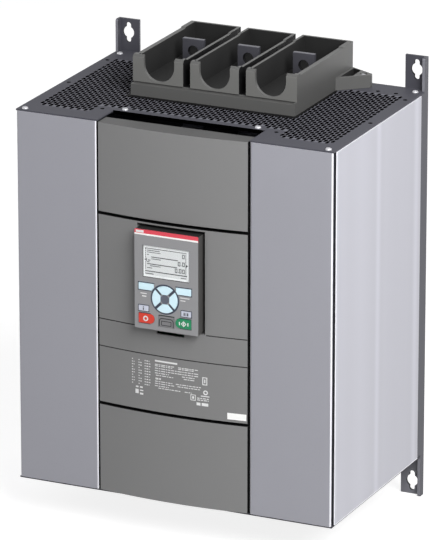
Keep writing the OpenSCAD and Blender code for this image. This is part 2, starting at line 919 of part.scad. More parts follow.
module control_terminals() {
  wide = pole * poles;
  z = board_top - 2 * strip_h;
  front = board_back - strip_h;
  port = pole / 2;
  color([0.12, 0.45, 0.30]) difference() {
    block([-wide / 2, front, z], [wide / 2, board_back, z + strip_h]);
    for (k = [0 : poles - 1]) {
      x = -wide / 2 + (k + 0.5) * pole;
      block([x - port / 2, front - past, z + port / 2], [x + port / 2, front + port, z + port * 1.5]);
    }
  }
}

// Fans

module fan_frame() {
  spoke_h = 3;
  spoke_w = 4;
  color(black_plastic) translate([fan_pitch / 2, fan_y, bottom_z]) {
    linear_extrude(fan_h) difference() {
      square(fan_size, center = true);
      circle(duct_r);
    }
    linear_extrude(spoke_h) {
      circle(hub_r);
      for (a = [45, 135]) {
        rotate(a) square([2 * duct_r + fan_wall, spoke_w], center = true);
      }
    }
    cylinder(r = shaft_r, h = fan_h - spoke_h);
  }
}

module fan_rotor() {
  low = 3 + loose;
  high = fan_h - 4;
  chord = 16;
  blade_t = 1.6;
  pitch_angle = 38;
  color(black_plastic) translate([fan_pitch / 2, fan_y, bottom_z + low]) difference() {
    union() {
      cylinder(r = hub_r, h = high - low);
      intersection() {
        for (k = [0 : blades - 1]) {
          rotate(k * 360 / blades) translate([0, 0, (high - low) / 2]) rotate([pitch_angle, 0, 0])
            translate([0, -chord / 2, -blade_t / 2]) cube([duct_r, chord, blade_t]);
        }
        cylinder(r = duct_r - 1.5, h = high - low);
      }
    }
    translate([0, 0, -past]) cylinder(r = shaft_r + run_fit, h = high + past);
  }
}

// Screws

module screw(x, y, z, l) {
  translate([x, y, z - l]) cylinder(r = screw_r, h = l + past / 2);
  translate([x, y, z]) cylinder(r = head_r, h = head_h);
}

module top_screws() {
  color(alloy) for (p = top_screw_places()) {
    screw(p.x, p.y, plate_top, plate_t + 6);
  }
}

module shroud_screws() {
  color(alloy) for (s = [-1, 1]) {
    screw(s * ear_x, ear_y, plinth_z - ear_seat, plinth_h - ear_seat + plate_t + 6);
  }
}

// Keypad

module keypad_back() {
  half = kp_w / 2 - kp_step;
  low = kp_low_z + kp_step;
  high = kp_top_z - kp_step;
  post_r = 2.5;
  post_in = 7;
  color(black_plastic) union() {
    difference() {
      block([-half, kp_inner, low], [half, kp_rear, high]);
      block([-half + kp_wall, kp_inner - past, low + kp_wall],
        [half - kp_wall, kp_rear - kp_wall, high - kp_wall]);
    }
    for (x = [-half + post_in, half - post_in]) {
      for (z = [low + post_in, high - post_in]) {
        rod_y(x, board_front + pcb_t, z, post_r, kp_rear - kp_wall / 2 - board_front - pcb_t);
      }
    }
  }
}

module keypad_board() {
  half = kp_w / 2 - kp_step - kp_wall - loose;
  edge = kp_step + kp_wall + loose;
  color(board_green) slab(board_front, pcb_t) rect([-half, kp_low_z + edge], [half, kp_top_z - edge]);
}

// Outlines of the keys, each grown by g on every side

module nav_key(turn, g) {
  reach = nav_r + g;
  cut = nav_split * sqrt(2) - g * sqrt(2);
  translate([key_shift, nav_z]) rotate(turn) intersection() {
    circle(reach);
    polygon([[nav_in - g, -nav_in + g + cut], [reach, -reach + cut], [reach, reach - cut],
      [nav_in - g, nav_in - g - cut]]);
  }
}

module soft_key(side, g) {
  translate([key_shift, 0]) scale([side, 1]) difference() {
    rect([key_out - soft_w - g, soft_z - soft_h / 2 - g], [key_out + g, soft_z + soft_h / 2 + g]);
    translate([0, nav_z]) circle(nav_r + ring_gap - g);
  }
}

module small_key(side, g) {
  translate([key_shift, 0]) scale([side, 1]) rect([key_out - small_w - g, small_z - small_h / 2 - g],
    [key_out + g, small_z + small_h / 2 + g]);
}

module run_key(side, g) {
  r = run_h / 2 + g;
  inner = key_out - run_w + run_h / 2;
  translate([key_shift, 0]) scale([side, 1]) union() {
    rect([inner, run_z - r], [key_out + g, run_z + r]);
    translate([inner, run_z]) circle(r);
  }
}

// A key from its outline in two sizes: the cap, then the rim behind the front shell
module key_body(tint) {
  color(tint) union() {
    slab(kp_face - key_proud, key_proud + kp_front_t + loose + key_flange_t) children(0);
    slab(kp_inner + loose, key_flange_t) children(1);
  }
}

module key_up() {
  key_body(key_blue) {
    nav_key(90, 0);
    nav_key(90, key_rim);
  }
}

module key_down() {
  key_body(key_blue) {
    nav_key(270, 0);
    nav_key(270, key_rim);
  }
}

module key_left() {
  key_body(key_blue) {
    nav_key(180, 0);
    nav_key(180, key_rim);
  }
}

module key_right() {
  key_body(key_blue) {
    nav_key(0, 0);
    nav_key(0, key_rim);
  }
}

module soft_key_left() {
  key_body(key_blue) {
    soft_key(-1, 0);
    soft_key(-1, key_rim);
  }
}

module soft_key_right() {
  key_body(key_blue) {
    soft_key(1, 0);
    soft_key(1, key_rim);
  }
}

module key_info() {
  key_body(key_grey) {
    small_key(-1, 0);
    small_key(-1, key_rim);
  }
}

module key_local() {
  key_body(key_grey) {
    small_key(1, 0);
    small_key(1, key_rim);
  }
}

module key_stop() {
  key_body(stop_red) {
    run_key(-1, 0);
    run_key(-1, key_rim);
  }
}

module key_start() {
  key_body(start_green) {
    run_key(1, 0);
    run_key(1, key_rim);
  }
}

module display_outline(g) {
  wide = lcd_w / 2 + g;
  high = lcd_h / 2 + g;
  rect([lcd_shift - wide, lcd_z - high], [lcd_shift + wide, lcd_z + high]);
}

module keypad_front() {
  color([0.62, 0.62, 0.63]) difference() {
    slab(kp_face, kp_front_t) difference() {
      round_rect([-kp_w / 2, kp_low_z], [kp_w / 2, kp_top_z], kp_corner);
      display_outline(0.1);
      for (turn = [0, 90, 180, 270]) {
        nav_key(turn, key_gap);
      }
      for (side = [-1, 1]) {
        soft_key(side, key_gap);
        small_key(side, key_gap);
        run_key(side, key_gap);
      }
      rect([-port_x, port_low], [port_x, port_top]);
    }
    block([-kp_w / 2 - past, kp_face - past, kp_top_z - band_h],
      [kp_w / 2 + past, kp_face + band_t, kp_top_z + past]);
    rod_x(-port_x - flap_pin, flap_axis_y, flap_axis_z, flap_pin_r + run_fit, 2 * (port_x + flap_pin));
  }
}

module keypad_band() {
  color(band_red) slab(kp_face, band_t) intersection() {
    round_rect([-kp_w / 2, kp_low_z], [kp_w / 2, kp_top_z], kp_corner);
    rect([-kp_w / 2, kp_top_z - band_h], [kp_w / 2, kp_top_z]);
  }
}

module display_window() {
  color([0.85, 0.90, 0.92, 0.4]) slab(lens_y, lens_t) display_outline(0);
}

// The display lies right behind its window and has a frame behind the front shell
module display_panel() {
  frame = 2;
  color([0.93, 0.94, 0.92]) union() {
    slab(lens_y + lens_t, board_front - lens_y - lens_t) display_outline(-loose);
    slab(kp_inner, board_front - kp_inner) display_outline(frame);
  }
}

module usb_socket() {
  half = 5;
  z0 = flap_low_z + 2.5;
  front = kp_inner - 0.6;
  wall = 0.5;
  color(alloy) difference() {
    block([-half, front, z0], [half, board_front, z0 + 5.5]);
    block([-half + wall, front - past, z0 + wall], [half - wall, board_front - wall, z0 + 5.5 - wall]);
  }
}

module usb_flap() {
  plate_y = flap_axis_y - flap_barrel_r - 0.8;
  color([0.55, 0.55, 0.55]) union() {
    slab(plate_y, flap_t) rect([-flap_w / 2, flap_low_z], [flap_w / 2, flap_axis_z]);
    rod_x(-flap_w / 2, flap_axis_y, flap_axis_z, flap_barrel_r, flap_w);
    rod_x(-port_x - flap_pin + loose, flap_axis_y, flap_axis_z, flap_pin_r, 2 * (port_x + flap_pin - loose));
  }
}

chassis();
left_hand() rail();  // mounting_rail_left
rail();  // mounting_rail_right
front_frame();
left_hand() side_panel();  // side_panel_left
side_panel();  // side_panel_right
left_hand() front_panel();  // front_panel_left
front_panel();  // front_panel_right
top_grille();
bottom_plate();
upper_cover();
keypad_cover();
lower_cover();
terminal_shroud();
line_bar(1);  // line_bar_1
line_bar(2);  // line_bar_2
line_bar(3);  // line_bar_3
load_bar(1);  // load_bar_1
load_bar(2);  // load_bar_2
load_bar(3);  // load_bar_3
heat_sink(1);  // heat_sink_1
heat_sink(2);  // heat_sink_2
heat_sink(3);  // heat_sink_3
thyristor_module(1);  // thyristor_module_1
thyristor_module(2);  // thyristor_module_2
thyristor_module(3);  // thyristor_module_3
bypass_contactor(1);  // bypass_contactor_1
bypass_contactor(2);  // bypass_contactor_2
bypass_contactor(3);  // bypass_contactor_3
current_transformer(1);  // current_transformer_1
current_transformer(2);  // current_transformer_2
current_transformer(3);  // current_transformer_3
control_board();
board_spacers();
control_terminals();
left_hand() fan_frame();  // fan_frame_left
fan_frame();  // fan_frame_right
left_hand() fan_rotor();  // fan_rotor_left
fan_rotor();  // fan_rotor_right
top_screws();
shroud_screws();
keypad_back();
keypad_front();
keypad_band();
display_window();
display_panel();
keypad_board();
usb_socket();
usb_flap();
soft_key_left();
soft_key_right();
key_up();
key_down();
key_left();
key_right();
key_info();
key_local();
key_stop();
key_start();
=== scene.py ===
import json
import math

import bmesh
import bpy
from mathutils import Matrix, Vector
from mathutils.geometry import delaunay_2d_cdt


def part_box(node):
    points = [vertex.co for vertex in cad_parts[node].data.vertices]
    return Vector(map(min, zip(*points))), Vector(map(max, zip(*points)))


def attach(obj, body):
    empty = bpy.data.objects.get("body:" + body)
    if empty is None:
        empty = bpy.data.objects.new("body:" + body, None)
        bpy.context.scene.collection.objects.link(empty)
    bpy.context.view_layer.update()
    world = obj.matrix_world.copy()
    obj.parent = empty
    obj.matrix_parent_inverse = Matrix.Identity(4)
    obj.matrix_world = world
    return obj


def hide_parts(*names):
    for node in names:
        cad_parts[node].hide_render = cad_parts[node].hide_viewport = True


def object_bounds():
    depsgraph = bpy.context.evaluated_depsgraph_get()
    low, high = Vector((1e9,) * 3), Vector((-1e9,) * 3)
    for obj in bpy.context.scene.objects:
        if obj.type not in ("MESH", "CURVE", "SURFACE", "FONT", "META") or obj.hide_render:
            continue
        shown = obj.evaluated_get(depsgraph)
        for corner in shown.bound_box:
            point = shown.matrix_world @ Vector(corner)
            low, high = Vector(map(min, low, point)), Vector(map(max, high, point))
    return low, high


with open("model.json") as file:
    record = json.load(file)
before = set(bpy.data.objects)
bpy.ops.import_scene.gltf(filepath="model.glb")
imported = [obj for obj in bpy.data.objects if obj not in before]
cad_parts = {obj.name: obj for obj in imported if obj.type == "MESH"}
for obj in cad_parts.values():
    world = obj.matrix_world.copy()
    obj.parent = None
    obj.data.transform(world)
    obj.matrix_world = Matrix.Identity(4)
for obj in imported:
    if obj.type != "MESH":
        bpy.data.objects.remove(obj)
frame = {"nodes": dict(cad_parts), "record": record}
cad_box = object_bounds()
NODES = frame["nodes"]
BODY = {n: b for b, ns in frame["record"]["behaviour"]["bodies"].items() for n in ns}
SLOT = {s["node"]: s["material_slot"] for s in frame["record"]["subparts"]}
MM = 0.001


# Places taken from the frame, in millimetres

def corners(node):
    """The lowest and highest corners of a CAD node, in millimetres."""
    lo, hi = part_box(node)
    return lo / MM, hi / MM


COVERS = ("upper_cover", "keypad_cover", "lower_cover")
FRONT = corners("front_panel_right")[0].y
CASE_LOW = corners("side_panel_right")[0].z
PLATE_LO, PLATE_HI = corners("top_grille")
SHROUD_LO, SHROUD_HI = corners("terminal_shroud")
LINE_BARS = [corners("line_bar_%d" % i) for i in (1, 2, 3)]
PHASES = [(lo.x + hi.x) / 2 for lo, hi in LINE_BARS]
COVER_X = corners("lower_cover")[1].x
KEYPAD_FACE = corners("keypad_front")[0].y
KEY_FACE = corners("key_info")[0].y
FLAP_FACE = corners("usb_flap")[0].y
SCREEN_FACE = corners("display_panel")[0].y
WHEEL_X = (corners("key_left")[0].x + corners("key_right")[1].x) / 2
WHEEL_Z = (corners("key_down")[0].z + corners("key_up")[1].z) / 2


# Materials

CLOUD_DETAIL, GRAIN_DETAIL = 4.0, 2.0
ROUGH_VARY = 0.06
BUMP_DEPTH = 0.05 * MM


def linear(c):
    """A colour given in sRGB steps of 0 to 255, as linear light."""
    out = []
    for v in c:
        v /= 255.0
        out.append(v / 12.92 if v <= 0.04045 else ((v + 0.055) / 1.055) ** 2.4)
    return (*out, 1.0)


def surface(name, tone, spread, rough, grain, bump, metal=0.0, coat=0.0, cloud=9.0, stretch=(1, 1, 1),
            flow=None, spec=0.5):
    """A node material: a cloudy tone, a fine grain that also roughens, and a bump from the same grain."""
    m = bpy.data.materials.new(name)
    m.use_nodes = True
    nt = m.node_tree
    bsdf = nt.nodes["Principled BSDF"]
    where = nt.nodes.new("ShaderNodeTexCoord")
    place = nt.nodes.new("ShaderNodeMapping")
    place.inputs["Scale"].default_value = stretch
    nt.links.new(where.outputs["Object"], place.inputs["Vector"])
    clouds = nt.nodes.new("ShaderNodeTexNoise")
    clouds.inputs["Scale"].default_value = cloud
    clouds.inputs["Detail"].default_value = CLOUD_DETAIL
    drift = nt.nodes.new("ShaderNodeMapping")
    drift.inputs["Scale"].default_value = flow or stretch
    nt.links.new(where.outputs["Object"], drift.inputs["Vector"])
    nt.links.new(drift.outputs["Vector"], clouds.inputs["Vector"])
    fine = nt.nodes.new("ShaderNodeTexNoise")
    fine.inputs["Scale"].default_value = grain
    fine.inputs["Detail"].default_value = GRAIN_DETAIL
    nt.links.new(place.outputs["Vector"], fine.inputs["Vector"])
    base = linear(tone)
    mix = nt.nodes.new("ShaderNodeMix")
    mix.data_type = "RGBA"
    mix.inputs["A"].default_value = (*[v * (1 - spread) for v in base[:3]], 1)
    mix.inputs["B"].default_value = (*[min(1, v * (1 + spread)) for v in base[:3]], 1)
    nt.links.new(clouds.outputs["Fac"], mix.inputs["Factor"])
    nt.links.new(mix.outputs["Result"], bsdf.inputs["Base Color"])
    band = nt.nodes.new("ShaderNodeMapRange")
    band.inputs["To Min"].default_value = rough - ROUGH_VARY
    band.inputs["To Max"].default_value = rough + ROUGH_VARY
    nt.links.new(fine.outputs["Fac"], band.inputs["Value"])
    nt.links.new(band.outputs["Result"], bsdf.inputs["Roughness"])
    lift = nt.nodes.new("ShaderNodeBump")
    lift.inputs["Strength"].default_value = bump
    lift.inputs["Distance"].default_value = BUMP_DEPTH
    nt.links.new(fine.outputs["Fac"], lift.inputs["Height"])
    nt.links.new(lift.outputs["Normal"], bsdf.inputs["Normal"])
    bsdf.inputs["Metallic"].default_value = metal
    bsdf.inputs["Coat Weight"].default_value = coat
    bsdf.inputs["Specular IOR Level"].default_value = spec
    return m


PANE_GRAIN, PANE_ROUGH, PANE_TINT, PANE_ALPHA = 300.0, (0.08, 0.16), (0.9, 0.95, 0.97, 1), 0.07


def clear(name):
    """Thin clear plastic: mostly see-through, with a faint gloss that a fine noise breaks up."""
    m = bpy.data.materials.new(name)
    m.use_nodes = True
    nt = m.node_tree
    bsdf = nt.nodes["Principled BSDF"]
    where = nt.nodes.new("ShaderNodeTexCoord")
    fine = nt.nodes.new("ShaderNodeTexNoise")
    fine.inputs["Scale"].default_value = PANE_GRAIN
    nt.links.new(where.outputs["Object"], fine.inputs["Vector"])
    band = nt.nodes.new("ShaderNodeMapRange")
    band.inputs["To Min"].default_value = PANE_ROUGH[0]
    band.inputs["To Max"].default_value = PANE_ROUGH[1]
    nt.links.new(fine.outputs["Fac"], band.inputs["Value"])
    nt.links.new(band.outputs["Result"], bsdf.inputs["Roughness"])
    bsdf.inputs["Base Color"].default_value = PANE_TINT
    bsdf.inputs["Alpha"].default_value = PANE_ALPHA
    return m


def bands(m, peaks):
    """Lighter upright bands across a sheet, each given by its Y, its half width and its gain: painted
    reflections.
    """
    nt = m.node_tree
    colour = nt.nodes["Principled BSDF"].inputs["Base Color"]
    where = nt.nodes.new("ShaderNodeTexCoord")
    split = nt.nodes.new("ShaderNodeSeparateXYZ")
    nt.links.new(where.outputs["Object"], split.inputs["Vector"])
    for middle, half, gain in peaks:
        away = nt.nodes.new("ShaderNodeMath")
        away.operation = "SUBTRACT"
        away.inputs[1].default_value = middle * MM
        nt.links.new(split.outputs["Y"], away.inputs[0])
        size = nt.nodes.new("ShaderNodeMath")
        size.operation = "ABSOLUTE"
        nt.links.new(away.outputs["Value"], size.inputs[0])
        fade = nt.nodes.new("ShaderNodeMapRange")
        fade.interpolation_type = "SMOOTHSTEP"
        fade.inputs["From Max"].default_value = half * MM
        fade.inputs["To Min"].default_value = 1 + gain
        fade.inputs["To Max"].default_value = 1
        nt.links.new(size.outputs["Value"], fade.inputs["Value"])
        lift = nt.nodes.new("ShaderNodeVectorMath")
        lift.operation = "SCALE"
        nt.links.new(colour.links[0].from_socket, lift.inputs[0])
        nt.links.new(fade.outputs["Result"], lift.inputs["Scale"])
        nt.links.new(lift.outputs["Vector"], colour)


MAT = {"window": clear("window")}


def material(name, tone, family, **own):
    """A named finish: what its family shares, and what is its own."""
    MAT[name] = surface(name, tone, **{**family, **own})


GLOSS = {"spread": 0.03, "rough": 0.30, "grain": 1100, "spec": 0.6}
material("light_paint", (149, 149, 157), GLOSS, bump=0.08)
# A painted highlight: near white, for the rounded bends and edges of the sheet panels.
material("edge_highlight", (236, 236, 242), GLOSS, bump=0.05)
# The side panels' paint is the front panels' paint made lighter as painted light, with upright streaks from
# noise along Y.
material("side_paint_lit", (177, 177, 186), GLOSS, bump=0.08, spread=0.05, rough=0.34, spec=0.5, cloud=30.0,
         flow=(0, 1, 0))
# Lighter upright bands on the side panels: painted reflections.
SIDE_REFLECTIONS = ((-238.5, 9.0, 0.12), (-173.0, 30.0, 0.05), (-132.0, 9.0, 0.17), (-33.0, 10.0, 0.17))
bands(MAT["side_paint_lit"], SIDE_REFLECTIONS)

POWDER = {"spread": 0.05, "rough": 0.45, "grain": 1100, "bump": 0.10, "spec": 0.2}
material("dark_paint", (56, 56, 62), POWDER, spread=0.06, rough=0.50, spec=0.15)
material("rail_paint", (74, 74, 81), POWDER, spread=0.06)
# A painted highlight on the rails' flange edges at the lugs and on the lower lugs.
material("rail_highlight", (124, 124, 131), POWDER)
material("plate_paint", (79, 79, 86), POWDER, rough=0.55, spec=0.08)
# A painted highlight on the webs between the plate's slots.
material("plate_web_highlight", (108, 108, 116), POWDER, rough=0.55, spec=0.08)

# Painted shade: near black, for gaps, holes, hollows and undersides where shade falls.
SHADE = {"spread": 0.10, "grain": 1100, "bump": 0.05}
material("painted_shade", (14, 14, 15), SHADE, rough=0.70, spec=0.1)
material("slot_shade", (2, 2, 2), SHADE, rough=0.80, spec=0.0)

MOULDED = {"spread": 0.03, "rough": 0.50, "grain": 2200, "bump": 0.12}
material("cover_plastic", (120, 120, 120), MOULDED, spread=0.02)
# Painted shade: the covers' plastic made darker on their tops.
material("cover_top_shaded", (82, 82, 82), MOULDED, spread=0.02, spec=0.2)
material("shroud_plastic", (84, 84, 83), MOULDED)
# Painted light and shade: the shroud's plastic lighter on its posts' fronts, darker on its sides, and dark in
# recesses, grooves and on the keypad's tops.
material("shroud_post_lit", (108, 108, 106), MOULDED)
material("shroud_side_shaded", (71, 71, 70), MOULDED)
material("recess_shade", (36, 36, 36), MOULDED, spread=0.05, rough=0.60, spec=0.2)
material("black_plastic", (64, 64, 65), MOULDED, spread=0.08, rough=0.52, grain=1800)
material("terminal_green", (42, 120, 84), MOULDED, spread=0.06, rough=0.48, grain=1600, bump=0.10)

METAL = {"spread": 0.06, "bump": 0.15}
material("tinned_bar", (96, 96, 104), METAL, spread=0.10, rough=0.38, grain=500, metal=0.6, stretch=(1, 1, 6))
material("alloy", (150, 152, 156), METAL, rough=0.40, grain=600, metal=0.9, stretch=(6, 6, 0.4))
material("screw_steel", (190, 190, 194), METAL, spread=0.05, rough=0.30, grain=900, bump=0.06, metal=0.3)

HOUSING = {"spread": 0.04, "rough": 0.50, "grain": 2600, "bump": 0.10}
# The keypad's side and back: a dark housing colour, made darker still as painted shade.
material("keypad_side_shaded", (67, 66, 65), HOUSING)
material("keypad_face", (141, 141, 143), HOUSING, spread=0.03, rough=0.46)
material("flap_grey", (120, 120, 122), HOUSING, rough=0.48)

KEYCAP = {"spread": 0.02, "rough": 0.40, "grain": 2200, "bump": 0.05}
material("key_blue", (216, 243, 253), KEYCAP)
material("key_grey", (200, 204, 218), KEYCAP)
material("key_red", (208, 55, 37), KEYCAP, spread=0.04, rough=0.38)
material("key_green", (12, 129, 83), KEYCAP, spread=0.04, rough=0.38)
material("nav_dark", (48, 56, 72), KEYCAP, spread=0.05, rough=0.45, bump=0.06)
material("nav_centre", (86, 90, 102), KEYCAP, spread=0.05, rough=0.45, bump=0.06)

PRINT = {"spread": 0.03, "rough": 0.55, "grain": 2200, "bump": 0.03}
material("ink_dark", (24, 26, 30), PRINT, spread=0.06)
material("ink_pale", (226, 226, 226), PRINT)
material("sticker", (248, 248, 246), PRINT, spread=0.02, rough=0.50, grain=1200, bump=0.04)

SMOOTH = {"spread": 0.02, "rough": 0.60, "grain": 900, "bump": 0.02}
material("display", (250, 252, 252), SMOOTH)
material("display_field", (222, 224, 224), SMOOTH)
material("keypad_red", (216, 58, 76), SMOOTH, spread=0.05, rough=0.30, bump=0.03, coat=0.3)
material("board", (28, 92, 56), SMOOTH, spread=0.18, rough=0.40, bump=0.05, cloud=120)

LOOK = dict(SLOT)
LOOK["terminal_shroud"] = "shroud_plastic"
# The side panels take the lighter copy of the panel paint: painted light.
LOOK["side_panel_left"] = LOOK["side_panel_right"] = "side_paint_lit"
LOOK["top_grille"] = "plate_paint"
# The frame behind the front is seen only through the gaps: its dark paint made near black as painted shade.
LOOK["front_frame"] = "painted_shade"
LOOK["keypad_back"] = "keypad_side_shaded"
LOOK["mounting_rail_left"] = LOOK["mounting_rail_right"] = "rail_paint"

for n, o in NODES.items():
    o.data.materials.clear()
    o.data.materials.append(MAT[LOOK[n]])


# Pieces

SHARP = 25.0
ROUND_STEPS = 2
WELD = 2e-6
FLAT_ANGLE = 0.25


def piece(name, verts, faces, mat, node, smooth=None):
    """A mesh object on the body of a CAD node and in its slot."""
    me = bpy.data.meshes.new(name)
    me.from_pydata([tuple(v) for v in verts], [], faces)
    return dress(name, me, mat, node, smooth)


def dress(name, me, mat, node, smooth=None):
    """An object from a mesh, smooth below an angle given in degrees, on the body of a CAD node."""
    me.materials.clear()
    me.materials.append(MAT[mat])
    me.validate()
    me.update()
    for p in me.polygons:
        p.use_smooth = smooth is not None
    if smooth is not None:
        me.set_sharp_from_angle(angle=math.radians(smooth))
    o = bpy.data.objects.new(name, me)
    bpy.context.scene.collection.objects.link(o)
    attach(o, BODY[node])
    return o


def soften(node, width, cut=None):
    """A rounded copy of a CAD node in the node's place, with its faces parted at the height cut."""
    bm = bmesh.new()
    bm.from_mesh(NODES[node].data)
    bmesh.ops.remove_doubles(bm, verts=bm.verts, dist=WELD)
    bmesh.ops.dissolve_limit(bm, angle_limit=math.radians(FLAT_ANGLE), verts=bm.verts, edges=bm.edges)
    sharp = [e for e in bm.edges if len(e.link_faces) == 2 and e.calc_face_angle(0) > math.radians(SHARP)]
    bmesh.ops.bevel(bm, geom=sharp, offset=width * MM, offset_type="OFFSET", segments=ROUND_STEPS,
                    profile=0.5, affect="EDGES", clamp_overlap=True)
    if cut is not None:
        bmesh.ops.bisect_plane(bm, geom=bm.verts[:] + bm.edges[:] + bm.faces[:], plane_co=(0, 0, cut * MM),
                               plane_no=(0, 0, 1))
    me = bpy.data.meshes.new(node + "_skin")
    bm.to_mesh(me)
    bm.free()
    for layer in [a.name for a in me.attributes if a.name == "custom_normal"]:
        me.attributes.remove(me.attributes[layer])
    o = dress(node + "_skin", me, LOOK[node], node, smooth=SHARP)
    even = o.modifiers.new("even", "WEIGHTED_NORMAL")
    even.keep_sharp = True
    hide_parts(node)
    return o


def paint(o, mat, test):
    """Another material on the faces that pass a test of their centre, in millimetres, and their normal."""
    k = len(o.data.materials)
    o.data.materials.append(MAT[mat])
    for f in o.data.polygons:
        if test(f.center / MM, f.normal):
            f.material_index = k


def within(v, limits):
    """Whether a number lies between two limits."""
    return limits[0] < v < limits[1]


def beside(v, places, reach):
    """Whether a number lies within reach of one of the places."""
    return min(abs(v - p) for p in places) < reach


# How far a face's normal leans along an axis
SLIGHT, RIM, LEANING, HALF, MOSTLY, SQUARE, NEARLY = 0.2, 0.25, 0.3, 0.5, 0.6, 0.9, 0.95


# The case: panels and rails

PANEL_ROUND, SHEET_ROUND = 0.6, 0.4
PANEL_INNER = corners("front_panel_right")[0].x + 0.7
SHEET_FOOT = CASE_LOW + 1.2
RAIL_FOOT = CASE_LOW - 2.0
LUG_FROM = PLATE_HI.z - 0.6
FLANGE_INNER_Y, FLANGE_EDGE_Y, FLANGE_X = -3.4, -4.0, 170.0
KEYHOLE_X, KEYHOLE_Z = 167.0, 228.5
KEYHOLE_HALF_X, KEYHOLE_HALF_Z = 7.2, 11.2


def keyhole(c):
    """Whether a point lies in the keyhole of a lug."""
    return abs(abs(c.x) - KEYHOLE_X) < KEYHOLE_HALF_X and abs(abs(c.z) - KEYHOLE_Z) < KEYHOLE_HALF_Z


def case_side(side, s):
    """The front panel, the side panel and the rail of one side, s being the sign of its X."""
    front = soften("front_panel_" + side, PANEL_ROUND)
    # Painted highlights on the front panel's rounded rims, and painted shade on its inner leg beside the gap.
    paint(front, "edge_highlight", lambda c, n: n.y < -RIM and max(abs(n.x), abs(n.z)) > HALF)
    paint(front, "painted_shade", lambda c, n: s * n.x < -SQUARE and abs(c.x) < PANEL_INNER)
    sheet = soften("side_panel_" + side, SHEET_ROUND, cut=SHEET_FOOT)
    # Painted highlights along the side panel's foot, its front bend and its top edges.
    paint(sheet, "edge_highlight", lambda c, n: c.z < SHEET_FOOT and s * n.x > LEANING)
    paint(sheet, "edge_highlight", lambda c, n: n.y < -LEANING or LEANING < n.z < NEARLY)
    rail = soften("mounting_rail_" + side, SHEET_ROUND, cut=RAIL_FOOT)
    # Painted highlights on the rail's flange edges at the lugs and on its lower lug; painted shade on the
    # flanges' inner faces and in the keyholes.
    paint(rail, "rail_highlight", lambda c, n: n.y < -MOSTLY and c.y < FLANGE_EDGE_Y and abs(c.z) > LUG_FROM)
    paint(rail, "rail_highlight", lambda c, n: n.y < -SQUARE and c.z < RAIL_FOOT)
    paint(rail, "painted_shade", lambda c, n: s * n.x < -SQUARE and abs(c.x) > FLANGE_X and c.y < FLANGE_INNER_Y
          and abs(c.z) > LUG_FROM or abs(n.y) < LEANING and keyhole(c))


case_side("left", -1)
case_side("right", 1)


# The curved front covers

COVER_ROUND = 0.5
SEAM_REACH = 2.0
GROOVES, GROOVE_REACH = (-6.2, -36.0), 0.55
EDGE_REACH, TOP_REACH = 0.6, 1.0


def front_covers():
    upper, middle, lower = (corners(n) for n in COVERS)
    seams = ((upper[0].z + middle[1].z) / 2, (middle[0].z + lower[1].z) / 2)
    for cover in COVERS:
        shell = soften(cover, COVER_ROUND)
        # Painted shade on the covers' ends at the seams, on their side edges beside the gaps, in the grooves,
        # and on the darker tops.
        paint(shell, "painted_shade", lambda c, n: abs(n.z) > SQUARE and beside(c.z, seams, SEAM_REACH)
              or abs(n.x) > SQUARE and abs(c.x) > COVER_X - EDGE_REACH)
        paint(shell, "recess_shade", lambda c, n: beside(c.z, GROOVES, GROOVE_REACH))
        paint(shell, "cover_top_shaded", lambda c, n: n.z > SQUARE and c.z > upper[1].z - TOP_REACH)


front_covers()


# The terminal shroud and the bars

SHROUD_ROUND, BAR_ROUND = 0.6, 0.5
PLINTH_X, PLINTH_TOP = 93.5, 221.0
UNDERSIDE = SHROUD_LO.z + 1.6
POST_BACK, POST_FOOT = SHROUD_LO.y + 6.5, PLINTH_TOP + 1.0
PLINTH_SIDE = PLINTH_X - 0.5
BAY_HALF = 24.8
BAY_Y = (SHROUD_LO.y + 9.0, SHROUD_HI.y - 2.5)
BAY_Z = (PLINTH_TOP, SHROUD_HI.z - 2.1)
GAP_X = (27.6, 35.9)
GAP_FRONT = SHROUD_LO.y + 6.1
GAP_Z = (PLINTH_TOP, SHROUD_HI.z - 2.7)
EAR_POCKET = ((95.5, 106.5), (-44.0, -2.0), (210.0, 221.3))
HOLE_DROP, HOLE_REACH = 13.0, 6.2


def shroud():
    o = soften("terminal_shroud", SHROUD_ROUND)
    ear_x, ear_y, ear_z = EAR_POCKET
    # Painted shade along the plinth's foot, lighter post fronts as painted light, darker sides, and painted
    # shade in the bays, in the gaps between them and in the ear pockets.
    paint(o, "painted_shade", lambda c, n: n.z < -SLIGHT and c.z < UNDERSIDE)
    paint(o, "shroud_post_lit", lambda c, n: n.y < -MOSTLY and c.y < POST_BACK and c.z > POST_FOOT)
    paint(o, "shroud_side_shaded", lambda c, n: abs(n.x) > SQUARE and abs(c.x) > PLINTH_SIDE)
    paint(o, "recess_shade", lambda c, n: beside(c.x, PHASES, BAY_HALF) and within(c.y, BAY_Y)
          and within(c.z, BAY_Z))
    paint(o, "painted_shade", lambda c, n: within(abs(c.x), GAP_X) and c.y > GAP_FRONT
          and within(c.z, GAP_Z))
    paint(o, "recess_shade", lambda c, n: within(abs(c.x), ear_x) and within(c.y, ear_y)
          and within(c.z, ear_z))


def terminal_bars():
    for i, (x, (lo, hi)) in enumerate(zip(PHASES, LINE_BARS), 1):
        line = soften("line_bar_%d" % i, BAR_ROUND)
        z = hi.z - HOLE_DROP
        # Painted shade on the walls of each line bar's hole.
        paint(line, "painted_shade", lambda c, n: max(abs(c.x - x), abs(c.z - z)) < HOLE_REACH
              and abs(n.y) < NEARLY)
        soften("load_bar_%d" % i, BAR_ROUND)


shroud()
terminal_bars()


# The keypad's shells and keys

FRONT_ROUND, BACK_ROUND, KEY_ROUND = 0.25, 0.5, 0.2
KEYS = ("soft_key_left", "soft_key_right", "key_up", "key_down", "key_left", "key_right", "key_info",
        "key_local", "key_stop", "key_start", "usb_flap")


